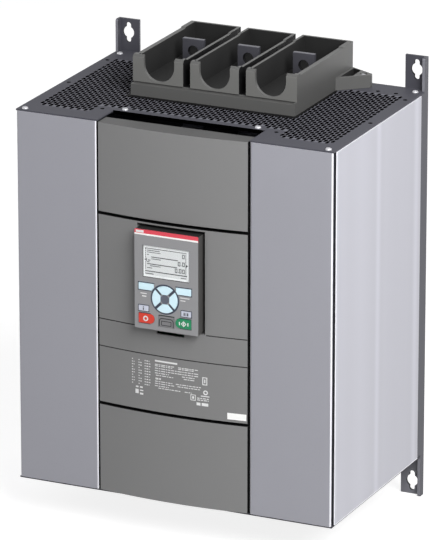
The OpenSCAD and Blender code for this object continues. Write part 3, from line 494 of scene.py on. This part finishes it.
def keypad():
    front = soften("keypad_front", FRONT_ROUND)
    # Painted shade on the front shell's sides and on the tops of both shells.
    paint(front, "keypad_side_shaded", lambda c, n: abs(n.x) > MOSTLY)
    back = soften("keypad_back", BACK_ROUND)
    for shell in (front, back):
        paint(shell, "recess_shade", lambda c, n: n.z > MOSTLY)
    for key in KEYS:
        soften(key, KEY_ROUND)


keypad()


# The perforated top plate, with its slots at their real spacing

PLATE_THICK = 1.6
NOTCH_X, NOTCH_Y = 86.0, -206.0
LIP_ROUND = 0.6
STEP_X, STEP_Y = 175.7, -10.3
BAR_THICK, BAR_CLEAR = 5.0, 3.0
TOP_SCREWS = [(sx * x, y) for sx in (-1, 1) for x, y in ((171.0, -239.0), (75.2, -200.2), (171.0, -16.0))]
# Round holes by X and by distance from the front
ROUND_HOLES = [(-172.4, 202), (-172.6, 110), (-98.5, 39.0), (134, 216.5), (154.5, 216.5), (172.4, 199),
               (172.6, 108), (98.5, 39.0)]
ROUND_R, ROUND_SIDES = 2.3, 16
SLOT_PITCH, SLOT_ROW, SLOT_W, SLOT_L = 8.0, 4.76, 3.5, 8.8
SLOT_ROWS, SLOT_COLUMNS = 60, 24
# The perforated field: its half width, and its start and end counted from the front
FIELD_X, FIELD_FORE, FIELD_AFT = 167.5, 22.0, 211.0
# Where the field stops short of the notch, and of the plinth and the ears of the shroud
NOTCH_SIDE, NOTCH_BACK = 18.0, 6.0
UNDER_X, UNDER_FORE = 93.0, 99.0
EAR_FORE, EAR_SLOPE = 198.0, 0.9
SCREW_CLEAR, HOLE_CLEAR = 4.2, 3.2
WEB_LENGTH = 9.0
SNAP, ON_LINE = 1e-6, 0.01


def ring(cx, cy, r, n):
    """The corners of a regular polygon."""
    turns = [2 * math.pi * (k + 0.5) / n for k in range(n)]
    return [(cx + r * math.cos(a), cy + r * math.sin(a)) for a in turns]


def slot_loop(cx, cy):
    """A round-ended slot along Y."""
    r = SLOT_W / 2
    run = SLOT_L / 2 - r
    turns = (0.0, math.pi / 3, 2 * math.pi / 3, math.pi)
    end = [(cx + r * math.cos(a), cy + run + r * math.sin(a)) for a in turns]
    return end + [(2 * cx - x, 2 * cy - y) for x, y in end]


def slot_fits(x, y):
    """Whether a slot at x and y, y counted from the front, lies in the perforated field."""
    near, far = abs(x) - SLOT_W / 2, abs(x) + SLOT_W / 2
    fore, aft = y - SLOT_L / 2, y + SLOT_L / 2
    if far > FIELD_X or fore < FIELD_FORE or aft > FIELD_AFT:
        return False
    if near < NOTCH_X + NOTCH_SIDE and fore < NOTCH_Y - FRONT + NOTCH_BACK:
        return False
    if near < UNDER_X and aft > UNDER_FORE:
        return False
    if near < SHROUD_HI.x and aft > EAR_FORE + EAR_SLOPE * max(0.0, near - PLINTH_X):
        return False
    wide, long = SCREW_CLEAR + SLOT_W / 2, SCREW_CLEAR + SLOT_L / 2
    if any(abs(x - sx) < wide and abs(y + FRONT - sy) < long for sx, sy in TOP_SCREWS):
        return False
    wide, long = HOLE_CLEAR + SLOT_W / 2, HOLE_CLEAR + SLOT_L / 2
    return all(abs(x - hx) > wide or abs(y - hy) > long for hx, hy in ROUND_HOLES)


def plate_outline():
    """The edge of the top plate, with the notch at its front and a step at each back corner."""
    x1, y0, y1 = PLATE_HI.x, PLATE_LO.y, PLATE_HI.y
    half = [(NOTCH_X, NOTCH_Y), (NOTCH_X, y0), (x1, y0), (x1, STEP_Y), (STEP_X, STEP_Y), (STEP_X, y1)]
    return half + [(-x, y) for x, y in reversed(half)]


def bar_opening(lo, hi):
    """The opening for a line bar, from the bar's corners."""
    x0, x1 = lo.x - BAR_CLEAR, hi.x + BAR_CLEAR
    y0, y1 = hi.y - BAR_THICK - BAR_CLEAR, hi.y + BAR_CLEAR
    return [(x0, y0), (x1, y0), (x1, y1), (x0, y1)]


def plate_loops():
    """The outline of the top plate and of every opening in it, and the number of those that aren't slots."""
    loops = [plate_outline()]
    loops += [bar_opening(lo, hi) for lo, hi in LINE_BARS]
    loops += [ring(x, y + FRONT, ROUND_R, ROUND_SIDES) for x, y in ROUND_HOLES]
    plain = len(loops)
    for j in range(SLOT_ROWS):
        for i in range(-SLOT_COLUMNS, SLOT_COLUMNS + 1):
            x, y = (i + 0.5 * (j % 2)) * SLOT_PITCH, j * SLOT_ROW
            if slot_fits(x, y):
                loops.append(slot_loop(x, y + FRONT))
    return loops, plain


def inside(p, loop):
    """Whether a point lies inside a closed outline."""
    hit = False
    for (xa, ya), (xb, yb) in zip(loop, loop[1:] + loop[:1]):
        if (ya > p.y) != (yb > p.y) and p.x < xa + (xb - xa) * (p.y - ya) / (yb - ya):
            hit = not hit
    return hit


def sheet_triangles(loops):
    """The points of a sheet with openings, the loop that each belongs to, and the sheet's triangles."""
    pts, edges, owner = [], [], []
    for n, loop in enumerate(loops):
        k = len(pts)
        pts += [Vector(p) for p in loop]
        owner += [n] * len(loop)
        edges += [(k + i, k + (i + 1) % len(loop)) for i in range(len(loop))]
    points, _, triangles, sources, _, _ = delaunay_2d_cdt(pts, edges, [], 1, SNAP)
    loop_of = [owner[src[0]] for src in sources]
    kept = []
    for t in triangles:
        whose = {loop_of[i] for i in t}
        if len(whose) == 1:
            mid = (points[t[0]] + points[t[1]] + points[t[2]]) / 3
            if whose != {0} or not inside(mid, loops[0]):
                continue
        kept.append(t)
    return points, loop_of, kept


def notch_lip(bottom, low):
    """The section of the lip that is folded down along the notch, as Y and Z."""
    y0, y1 = NOTCH_Y, NOTCH_Y + PLATE_THICK
    return [(y0, bottom), (y0, low + LIP_ROUND), (y0 + LIP_ROUND, low), (y1, low), (y1, bottom)]


def perforated_plate():
    """The plate with its openings: dark walls in its holes and slots and on the notch's lip as painted shade,
    and lighter webs between the slots as painted highlights.
    """
    loops, plain = plate_loops()
    points, loop_of, triangles = sheet_triangles(loops)
    top, bottom = PLATE_HI.z, PLATE_HI.z - PLATE_THICK
    n = len(points)
    verts = [(v.x, v.y, z) for z in (top, bottom) for v in points]
    faces, rim = [], {}
    for a, b, c in triangles:
        if (points[b] - points[a]).cross(points[c] - points[a]) < 0:
            b, c = c, b
        faces.append((a, b, c))
        faces.append((a + n, c + n, b + n))
        for e in ((a, b), (b, c), (c, a)):
            rim[e] = True
    dark = []
    openings = 1 + len(LINE_BARS)
    for a, b in rim:
        if (b, a) in rim:
            continue
        on_notch = all(abs(points[v].y - NOTCH_Y) < ON_LINE for v in (a, b))
        if loop_of[b] >= openings or on_notch:
            dark.append(len(faces))
        faces.append((b, a, a + n, b + n))
    lip = notch_lip(bottom, PLATE_LO.z)
    k, m = len(verts), len(lip)
    for x in (-NOTCH_X, NOTCH_X):
        verts += [(x, y, z) for y, z in lip]
    dark += range(len(faces), len(faces) + m)
    faces += [(k + i, k + (i + 1) % m, k + m + (i + 1) % m, k + m + i) for i in range(m)]
    faces += [tuple(k + i for i in reversed(range(m))), tuple(k + m + i for i in range(m))]
    verts = [(x * MM, y * MM, z * MM) for x, y, z in verts]
    o = piece("top_plate_perforated", verts, faces, "plate_paint", "top_grille")
    o.data.materials.append(MAT["slot_shade"])
    o.data.materials.append(MAT["plate_web_highlight"])
    for i in dark:
        o.data.polygons[i].material_index = 1
    for i, t in enumerate(triangles):
        longest = max((points[t[k]] - points[t[k - 1]]).length for k in range(3))
        if min(loop_of[v] for v in t) >= plain and longest < WEB_LENGTH:
            o.data.polygons[2 * i].material_index = 2
    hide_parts("top_grille")


perforated_plate()


# A painted shadow at the foot of the shroud: dark strips lying on the plate

SHADOW_WIDTH, SHADOW_HIGH = 6.0, 0.3
EAR_FRONT = -46.0


def foot_shadow(name, x0, x1, y0, y1):
    """A flat dark strip on the plate, by its limits in X and Y: a painted shadow."""
    heights = (PLATE_HI.z, PLATE_HI.z + SHADOW_HIGH)
    verts = [(x * MM, y * MM, z * MM) for z in heights for y in (y0, y1) for x in (x0, x1)]
    faces = [(0, 2, 3, 1), (4, 5, 7, 6), (0, 1, 5, 4), (2, 6, 7, 3), (0, 4, 6, 2), (1, 3, 7, 5)]
    piece(name, verts, faces, "painted_shade", "terminal_shroud")


SHADOW_X = PLINTH_X + SHADOW_WIDTH / 2
foot_shadow("foot_shadow_front", -SHADOW_X, SHADOW_X, SHROUD_LO.y - SHADOW_WIDTH, SHROUD_LO.y)
foot_shadow("foot_shadow_right", PLINTH_X, SHADOW_X, SHROUD_LO.y, EAR_FRONT)
foot_shadow("foot_shadow_left", -SHADOW_X, -PLINTH_X, SHROUD_LO.y, EAR_FRONT)


# Screws with domed heads and a round socket

SCREW_SIDES, SCREW_SMOOTH = 24, 35
SOCKET_FLOOR, SHANK_R = 0.8, 2.0
# The head from the socket to the rim, as radius and height, down to the shank
HEAD = ((1.3, SOCKET_FLOOR), (1.3, 1.75), (1.9, 1.88), (2.7, 1.5), (3.2, 0.9), (3.4, 0.25), (3.4, 0.0),
        (SHANK_R, 0.0))
TOP_SHANK = 3.6
EAR_SEAT, EAR_SHANK = 219.1, 19.1
EAR_SCREWS = [(113.45, -19.0), (-113.45, -19.0)]


def screws(name, node, places, z, shank):
    """Pan-head screws at the given places, their heads resting at z."""
    verts, faces = [], []
    n = SCREW_SIDES
    rows = HEAD + ((SHANK_R, -shank),)
    turns = [2 * math.pi * i / n for i in range(n)]
    for cx, cy in places:
        k = len(verts)
        verts.append((cx * MM, cy * MM, (z + SOCKET_FLOOR) * MM))
        for r, h in rows:
            circle = [(cx + r * math.cos(a), cy + r * math.sin(a)) for a in turns]
            verts += [(x * MM, y * MM, (z + h) * MM) for x, y in circle]
        for i in range(n):
            j = (i + 1) % n
            faces.append((k, k + 1 + i, k + 1 + j))
            for q in range(len(rows) - 1):
                a, b = k + 1 + q * n, k + 1 + (q + 1) * n
                faces.append((a + i, b + i, b + j, a + j))
        end = k + 1 + (len(rows) - 1) * n
        faces.append(tuple(end + i for i in reversed(range(n))))
    o = piece(name, verts, faces, "screw_steel", node, smooth=SCREW_SMOOTH)
    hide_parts(node)


screws("top_screw_heads", "top_screws", TOP_SCREWS, PLATE_HI.z, TOP_SHANK)
screws("shroud_screw_heads", "shroud_screws", EAR_SCREWS, EAR_SEAT, EAR_SHANK)


# Printed fields and marks, as thin raised shapes

INK_THICK, SCREEN_INK, STICKER_THICK, HUB_THICK = 0.07, 0.04, 0.12, 0.3
INK_SUNK = 0.01


def card(name, shapes, depth, mat, node, thick=INK_THICK):
    """Flat shapes in X and Z, thin, in front of a face whose Y is depth(x)."""
    verts, faces = [], []
    for shape in shapes:
        k, n = len(verts), len(shape)
        verts += [(x * MM, (depth(x) - thick) * MM, z * MM) for x, z in shape]
        verts += [(x * MM, (depth(x) + INK_SUNK) * MM, z * MM) for x, z in shape]
        faces.append(tuple(range(k, k + n)))
        faces.append(tuple(reversed(range(k + n, k + 2 * n))))
        faces += [(k + n + i, k + n + (i + 1) % n, k + (i + 1) % n, k + i) for i in range(n)]
    piece(name, verts, faces, mat, node)


def flat(y):
    """A depth that is the same everywhere."""
    return lambda x: y


def bar(x0, x1, z0, z1):
    """A rectangle by its limits."""
    return [(x0, z0), (x1, z0), (x1, z1), (x0, z1)]


def bars(x0, x1, z0, z1, step=6.0):
    """A bar cut into short lengths, so that it can follow a curve."""
    n = max(1, math.ceil((x1 - x0) / step))
    return [bar(x0 + (x1 - x0) * i / n, x0 + (x1 - x0) * (i + 1) / n, z0, z1) for i in range(n)]


def hoop(cx, cz, r0, r1, n, a0=0.0, a1=2 * math.pi):
    """A ring or part of one, as quads."""
    def at(r, k):
        a = a0 + (a1 - a0) * k / n
        return cx + r * math.cos(a), cz + r * math.sin(a)
    return [[at(r0, i), at(r1, i), at(r1, i + 1), at(r0, i + 1)] for i in range(n)]


def border(x0, x1, z0, z1, w):
    """A rectangular line of width w, outside the rectangle."""
    return [bar(x0 - w, x1 + w, z1, z1 + w), bar(x0 - w, x1 + w, z0 - w, z0), bar(x0 - w, x0, z0, z1),
            bar(x1, x1 + w, z0, z1)]


# The band at the keypad's head

BAND_MARGIN, RULE_LOW, RULE_HIGH = 0.1, 0.05, 1.8
FIELD_LEFT, FIELD_RIGHT, FIELD_LOW, FIELD_HIGH = 1.7, 10.5, 2.4, 1.0


def band_marks():
    lo, hi = corners("keypad_band")
    rule = bar(lo.x + BAND_MARGIN, hi.x - BAND_MARGIN, lo.z + RULE_LOW, lo.z + RULE_HIGH)
    card("band_rule", [rule], flat(KEYPAD_FACE), "sticker", "keypad_band")
    field = bar(lo.x + FIELD_LEFT, lo.x + FIELD_RIGHT, lo.z + FIELD_LOW, hi.z - FIELD_HIGH)
    card("band_field", [field], flat(KEYPAD_FACE), "ink_pale", "keypad_band")


# The lines round the keys, the captions and the signs

# Distances in X from the middle of the wheel to the edges and middles of the keys beside it
KEY_OUT, SOFT_IN, SMALL_IN, ROUND_IN = 29.6, 12.8, 18.8, 16.8
SMALL_MID, ROUND_MID = 24.2, 21.6
ROUND_Z, KEY_GAP = 7.0, 0.35
WHEEL_RING, RING_SIDES = (14.65, 16.2), 56
SPOKE, SPOKE_HALF = (6.6, 14.8), 1.1
HUB_R, HUB_SIDES = 5.0, 8
SOFT_HEAD, SOFT_FOOT = (45.35, 46.2), (36.9, 37.6)
SOFT_PAST, SOFT_FOOT_X, SOFT_EDGE = 0.9, (15.4, 30.6), (29.95, 30.7)
SMALL_Z, SMALL_LINE = (14.65, 20.95), 0.6
ROUND_PAST, ROUND_HEAD, ROUND_FOOT = 0.4, (12.4, 13.0), (1.0, 1.6)
CAPTIONS = ((-29.4, -22.4, 33.3, 34.2), (-27.6, -22.8, 30.2, 31.4), (15.8, 26.2, 34.2, 35.1),
            (15.8, 21.6, 31.2, 32.1))
STEM_HALF, STEM_Z, DOT_Z = 0.5, (15.9, 18.3), (18.9, 19.8)
LOCAL_X, LOCAL_Z = ((-2.6, -1.4), (-0.4, 0.4), (1.4, 2.6)), (16.2, 19.4)
STOP_RING, STOP_SIDES = (1.6, 2.9), 24
START_RING, START_SIDES, START_STEM = (2.0, 3.1), 4, 1.4
START_X, START_HALF = ((-5.4, -4.2), (4.2, 5.4)), 1.8


def span(s, a, b):
    """The X limits of what lies from a to b beside the middle of the wheel, on the side with sign s."""
    return sorted((WHEEL_X + s * a, WHEEL_X + s * b))


def spoke(angle):
    """A dark bar between two arrow keys."""
    c, d = math.cos(math.radians(angle)), math.sin(math.radians(angle))
    ends = ((SPOKE[0], -SPOKE_HALF), (SPOKE[1], -SPOKE_HALF), (SPOKE[1], SPOKE_HALF), (SPOKE[0], SPOKE_HALF))
    return [(WHEEL_X + r * c - w * d, WHEEL_Z + r * d + w * c) for r, w in ends]


def key_outlines():
    """The dark lines round the keys."""
    dark = hoop(WHEEL_X, WHEEL_Z, *WHEEL_RING, RING_SIDES)
    dark += [spoke(a) for a in (45, 135, 225, 315)]
    for s in (-1, 1):
        lo, hi = span(s, SOFT_IN, KEY_OUT)
        dark += [bar(lo - SOFT_PAST, hi + SOFT_PAST, *SOFT_HEAD), bar(*span(s, *SOFT_FOOT_X), *SOFT_FOOT)]
        dark.append(bar(*span(s, *SOFT_EDGE), SOFT_FOOT[0], SOFT_HEAD[1]))
        lo, hi = span(s, SMALL_IN, KEY_OUT)
        dark += border(lo - KEY_GAP, hi + KEY_GAP, *SMALL_Z, SMALL_LINE)
        lo, hi = span(s, ROUND_IN, KEY_OUT)
        dark += [bar(lo, hi + ROUND_PAST, *z) for z in (ROUND_HEAD, ROUND_FOOT)]
    card("key_outlines", dark, flat(KEYPAD_FACE), "nav_dark", "keypad_front")


def key_signs():
    """A simple sign on each of the four lower keys."""
    x = WHEEL_X - SMALL_MID
    signs = [bar(x - STEM_HALF, x + STEM_HALF, *z) for z in (STEM_Z, DOT_Z)]
    card("info_mark", signs, flat(KEY_FACE), "ink_dark", "key_info")
    x = WHEEL_X + SMALL_MID
    signs = [bar(x + a, x + b, *LOCAL_Z) for a, b in LOCAL_X]
    card("local_mark", signs, flat(KEY_FACE), "ink_dark", "key_local")
    x = WHEEL_X - ROUND_MID
    card("stop_mark", hoop(x, ROUND_Z, *STOP_RING, STOP_SIDES), flat(KEY_FACE), "ink_pale", "key_stop")
    x = WHEEL_X + ROUND_MID
    signs = hoop(x, ROUND_Z, *START_RING, START_SIDES)
    signs.append(bar(x - STEM_HALF, x + STEM_HALF, ROUND_Z - START_STEM, ROUND_Z + START_STEM))
    signs += [bar(x + a, x + b, ROUND_Z - START_HALF, ROUND_Z + START_HALF) for a, b in START_X]
    card("start_mark", signs, flat(KEY_FACE), "ink_pale", "key_start")


def key_marks():
    key_outlines()
    hub = ring(WHEEL_X, WHEEL_Z, HUB_R, HUB_SIDES)
    card("nav_middle", [hub], flat(KEYPAD_FACE), "nav_centre", "keypad_front", thick=HUB_THICK)
    card("key_captions", [bar(*c) for c in CAPTIONS], flat(KEYPAD_FACE), "ink_pale", "keypad_front")
    key_signs()


# The flap over the service port: an arch round a rectangle

ARCH_X, ARCH_R, ARCH_LINE, ARCH_FOOT, ARCH_SPRING, ARCH_STEPS = 8.4, 3.8, 1.0, 0.9, 6.2, 8
PORT_X, PORT_LOW, PORT_LINE = 5.0, 2.6, 0.8


def flap_marks():
    turn, inner = ARCH_X - ARCH_R, ARCH_R - ARCH_LINE
    lines = [bar(-ARCH_X, ARCH_LINE - ARCH_X, ARCH_FOOT, ARCH_SPRING),
             bar(ARCH_X - ARCH_LINE, ARCH_X, ARCH_FOOT, ARCH_SPRING),
             bar(-turn, turn, ARCH_SPRING + inner, ARCH_SPRING + ARCH_R)]
    lines += hoop(-turn, ARCH_SPRING, inner, ARCH_R, ARCH_STEPS, math.pi / 2, math.pi)
    lines += hoop(turn, ARCH_SPRING, inner, ARCH_R, ARCH_STEPS, 0, math.pi / 2)
    lines += border(-PORT_X, PORT_X, PORT_LOW, ARCH_SPRING, PORT_LINE)
    card("flap_lines", lines, flat(FLAP_FACE), "ink_dark", "usb_flap")


# The display: rules, ticks, strokes, figures 0, points and arrows

SCREEN_FIELD = (-24.7, 23.2, 54.2, 83.2)
RULES = ((-24.6, 22.4, 82.4, 83.2), (-24.6, 23.0, 57.6, 58.7), (21.3, 21.9, 59.5, 81.6),
         (-17.5, 12.6, 73.3, 74.3), (-22.4, 11.6, 65.6, 66.6))
TICK_X, TICK_HIGH = (-24.5, -23.7), 1.3
TICKS = (60.2, 62.4, 64.6, 66.8, 72.4, 74.6, 76.8, 79.0, 81.0)
STROKES = ((-22.4, -8.0, 80.2, 81.0), (-22.4, -7.0, 78.3, 79.0), (-22.4, -20.2, 75.6, 76.4),
           (-17.5, -6.7, 71.4, 72.2), (-21.4, -18.6, 69.6, 70.6), (-22.4, -19.6, 67.8, 68.6),
           (-19.0, -7.0, 63.8, 64.6), (-22.4, -16.5, 61.4, 62.2), (-24.4, -15.0, 55.0, 56.0),
           (15.8, 21.8, 55.0, 55.9))
ZEROS = ((18.9, 78.8), (14.0, 70.4), (18.9, 70.4), (10.6, 62.8), (15.2, 62.8), (18.9, 62.8))
ZERO_HALF_X, ZERO_HALF_Z, ZERO_LINE = 0.6, 1.5, 0.85
POINTS, POINT = ((16.2, 68.5), (12.6, 60.9)), 0.8
ARROWS = (((-25.2, 70.4), (-22.7, 68.4), (-22.7, 72.4)), ((21.6, 67.2), (24.2, 69.2), (21.6, 71.2)))
PANE_AIR = 0.15


def zero(x, z):
    """The figure 0."""
    return border(x - ZERO_HALF_X, x + ZERO_HALF_X, z - ZERO_HALF_Z, z + ZERO_HALF_Z, ZERO_LINE)


def screen_marks():
    field = [bar(*SCREEN_FIELD)]
    card("screen_field", field, flat(SCREEN_FACE), "display_field", "display_panel", thick=SCREEN_INK)
    ink = [bar(*limits) for limits in RULES + STROKES]
    ink += [bar(*TICK_X, z, z + TICK_HIGH) for z in TICKS]
    for x, z in ZEROS:
        ink += zero(x, z)
    ink += [bar(x, x + POINT, z, z + POINT) for x, z in POINTS]
    ink += [list(arrow) for arrow in ARROWS]
    card("screen_marks", ink, flat(SCREEN_FACE - SCREEN_INK), "ink_dark", "display_panel", thick=SCREEN_INK)


def display_pane():
    """The clear window, with a little air behind it."""
    lo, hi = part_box("display_window")
    depths = (lo.y, hi.y - PANE_AIR * MM)
    verts = [(x, y, z) for y in depths for z in (lo.z, hi.z) for x in (lo.x, hi.x)]
    faces = [(0, 1, 3, 2), (5, 4, 6, 7), (1, 5, 7, 3), (4, 0, 2, 6), (2, 3, 7, 6), (4, 5, 1, 0)]
    pane = piece("display_pane", verts, faces, "window", "display_window")
    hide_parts("display_window")


# The printed field on the keypad cover, as rows of short dashes and plain boxes

BULGE = FRONT - corners("lower_cover")[0].y
CURVE = (COVER_X * COVER_X + BULGE * BULGE) / (2 * BULGE)
DASH_GAP, DASH_LEAST = 0.9, 0.6
HEADING = (-18.0, 7.6, -42.4, -40.6)
ROW_HIGH, ROW_DASHES = 0.8, (3.4, 2.0, 4.6, 1.4, 2.8)
# Rows by their height and the stretches of X that they fill
ROWS = (
    (-45.4, ((-18, 4), (8.6, 32))),
    (-47.0, ((-18, 2), (8.6, 26))),
    (-49.6, ((-18, 31),)),
    (-52.2, ((-18, 31),)),
    (-54.8, ((-18, -2), (13, 27))),
    (-57.2, ((-17, 3), (15, 28))),
    (-60.4, ((-17.4, -10.4),)),
    (-61.4, ((-17.4, -10.4),)),
    (-63.8, ((-18, 2), (6, 34))),
    (-66.2, ((-18, 4), (8, 34))),
    (-68.8, ((-18, -2),)),
    (-71.0, ((-14, 12), (16, 24))),
)
# Columns by their left edge and width
COLUMNS, COLUMN_TOP, COLUMN_STEP, COLUMN_ROWS = ((-45.0, 3.0), (-37.2, 3.6), (-30.0, 8.0)), -43.4, 2.9, 10
COLUMN_HIGH, COLUMN_DASHES, COLUMN_SHORT = 1.0, (1.2, 2.0, 1.6), 0.7
SMALL_BOXES = ((-41.0, -37.2, -80.6, -76.0), (-35.6, -31.8, -77.4, -76.2), (-35.6, -31.8, -81.4, -79.4),
               (-40.4, -37.4, -74.0, -72.4), (-35.6, -32.4, -74.0, -72.4))
TALL_FRAME, TALL_LINE, TALL_BAR = (36.6, 40.2, -59.6, -52.8), 0.9, (37.8, 39.0, -58.2, -54.2)
DISC, DISC_SIDES, DISC_RULE = (39.2, -68.6, 1.4, 2.6), 16, (34.0, 43.4, -73.2, -72.2)
LOW_FRAME, LOW_LINE, LOW_BAR = (23.2, 27.6, -78.0, -73.0), 0.7, (24.4, 26.4, -76.8, -74.2)
FOOT_X, FOOT_HIGH = (30.0, 42.6), 0.9
FOOT_ROWS = ((-75.4, (2.6, 1.8, 3.4)), (-77.4, (3.4, 2.2)))
FOOT_BOXES = ((29.2, 33.6, -83.4, -80.2), (35.0, 42.2, -83.4, -80.2))
STICKER, STICKER_STEP = (63.0, 83.4, -94.4, -87.4), 4.0


def cover_face(x):
    """The Y of the curved covers' front at x."""
    return FRONT - BULGE + CURVE - math.sqrt(CURVE * CURVE - x * x)


def dashes(x0, x1, z, high, lengths):
    """A row of short dashes between x0 and x1, with gaps between them."""
    out, x, k = [], x0, 0
    while x < x1 - DASH_LEAST:
        end = min(x1, x + lengths[k % len(lengths)])
        out += bars(x, end, z - high / 2, z + high / 2)
        x, k = end + DASH_GAP, k + 1
    return out


def label_marks():
    pale = bars(*HEADING)
    for z, runs in ROWS:
        for x0, x1 in runs:
            pale += dashes(x0, x1, z, ROW_HIGH, ROW_DASHES)
    for x, w in COLUMNS:
        for k in range(COLUMN_ROWS):
            end = x + w * (1.0 if k % 3 else COLUMN_SHORT)
            pale += dashes(x, end, COLUMN_TOP - COLUMN_STEP * k, COLUMN_HIGH, COLUMN_DASHES)
    pale += [bar(*limits) for limits in SMALL_BOXES + FOOT_BOXES]
    pale += border(*TALL_FRAME, TALL_LINE) + [bar(*TALL_BAR)]
    pale += hoop(*DISC, DISC_SIDES) + [bar(*DISC_RULE)]
    pale += border(*LOW_FRAME, LOW_LINE) + [bar(*LOW_BAR)]
    for z, lengths in FOOT_ROWS:
        pale += dashes(*FOOT_X, z, FOOT_HIGH, lengths)
    card("cover_label", pale, cover_face, "ink_pale", "keypad_cover")
    field = bars(*STICKER, STICKER_STEP)
    card("cover_sticker", field, cover_face, "sticker", "keypad_cover", thick=STICKER_THICK)


band_marks()
key_marks()
flap_marks()
screen_marks()
display_pane()
label_marks()


# Camera

AZIMUTH, ELEVATION = math.radians(24.966), math.radians(18.438)
CAMERA_AT = (2.29476, -5.05655, 1.83496)
FOCAL_PX, IMAGE_HIGH_PX = 5476.3, 540.0
SENSOR, FAR = 36.0, 100.0


def camera():
    cam = bpy.data.cameras.new("camera")
    cam.sensor_fit = "VERTICAL"
    cam.sensor_height = SENSOR
    cam.lens = SENSOR * FOCAL_PX / IMAGE_HIGH_PX
    cam.clip_end = FAR
    o = bpy.data.objects.new("camera", cam)
    bpy.context.scene.collection.objects.link(o)
    level = math.cos(ELEVATION)
    back = Vector((math.sin(AZIMUTH) * level, -math.cos(AZIMUTH) * level, math.sin(ELEVATION)))
    o.location = CAMERA_AT
    o.rotation_euler = (-back).to_track_quat("-Z", "Y").to_euler()
    bpy.context.scene.camera = o


camera()


# Floor

FLOOR_HALF, FLOOR_GAP = 30.0, 0.5 * MM
FLOOR_TONE, FLOOR_GLOW = (0.42, 0.42, 0.42, 1), 0.82
WHITE = (1, 1, 1, 1)


def seen(nt):
    """A value of 1 for rays from the camera, in mirrors and through glass, and 0 for light on the object."""
    path = nt.nodes.new("ShaderNodeLightPath")
    total = path.outputs["Is Camera Ray"]
    for other in ("Is Glossy Ray", "Is Transmission Ray"):
        add = nt.nodes.new("ShaderNodeMath")
        add.operation = "MAXIMUM"
        nt.links.new(total, add.inputs[0])
        nt.links.new(path.outputs[other], add.inputs[1])
        total = add.outputs["Value"]
    return total


def floor():
    """A plain pale floor that keeps the object's shadow."""
    z = cad_box[0][2] - FLOOR_GAP
    s = FLOOR_HALF
    me = bpy.data.meshes.new("floor")
    me.from_pydata([(-s, -s, z), (s, -s, z), (s, s, z), (-s, s, z)], [], [(0, 1, 2, 3)])
    m = bpy.data.materials.new("floor")
    m.use_nodes = True
    nt = m.node_tree
    bsdf = nt.nodes["Principled BSDF"]
    bsdf.inputs["Base Color"].default_value = FLOOR_TONE
    bsdf.inputs["Roughness"].default_value = 1.0
    bsdf.inputs["Specular IOR Level"].default_value = 0.0
    bsdf.inputs["Emission Color"].default_value = WHITE
    scale = nt.nodes.new("ShaderNodeMath")
    scale.operation = "MULTIPLY"
    scale.inputs[1].default_value = FLOOR_GLOW
    nt.links.new(seen(nt), scale.inputs[0])
    nt.links.new(scale.outputs["Value"], bsdf.inputs["Emission Strength"])
    me.materials.append(m)
    o = bpy.data.objects.new("floor", me)
    bpy.context.scene.collection.objects.link(o)


floor()


# Light

AIM = Vector((0, -0.12, 0))
AMBIENT = (0.11, 0.11, 0.114, 1)


def lamp(name, place, size, power):
    """A round soft lamp aimed at the object."""
    d = bpy.data.lights.new(name, "AREA")
    d.shape = "DISK"
    d.size = size
    d.energy = power
    o = bpy.data.objects.new(name, d)
    o.location = place
    o.rotation_euler = (AIM - Vector(place)).to_track_quat("-Z", "Y").to_euler()
    bpy.context.scene.collection.objects.link(o)


def studio():
    """A dim even light on the object, seen as plain white."""
    world = bpy.data.worlds.new("studio")
    bpy.context.scene.world = world
    world.use_nodes = True
    nt = world.node_tree
    tone = nt.nodes.new("ShaderNodeMix")
    tone.data_type = "RGBA"
    tone.inputs["A"].default_value = AMBIENT
    tone.inputs["B"].default_value = WHITE
    nt.links.new(seen(nt), tone.inputs["Factor"])
    nt.links.new(tone.outputs["Result"], nt.nodes["Background"].inputs["Color"])


lamp("right_softbox", (1.42, -1.34, 1.45), 1.6, 75.0)
lamp("front_softbox", (-1.2, -2.5, 1.7), 1.8, 9.0)
lamp("rear_softbox", (1.9, 2.2, 1.2), 1.6, 14.0)
lamp("left_fill", (-2.4, 0.3, 0.0), 0.4, 26.0)
lamp("back_fill", (0.3, 2.4, 0.0), 0.4, 14.0)
studio()
bpy.context.scene.view_settings.view_transform = "Standard"

bpy.context.view_layer.update()
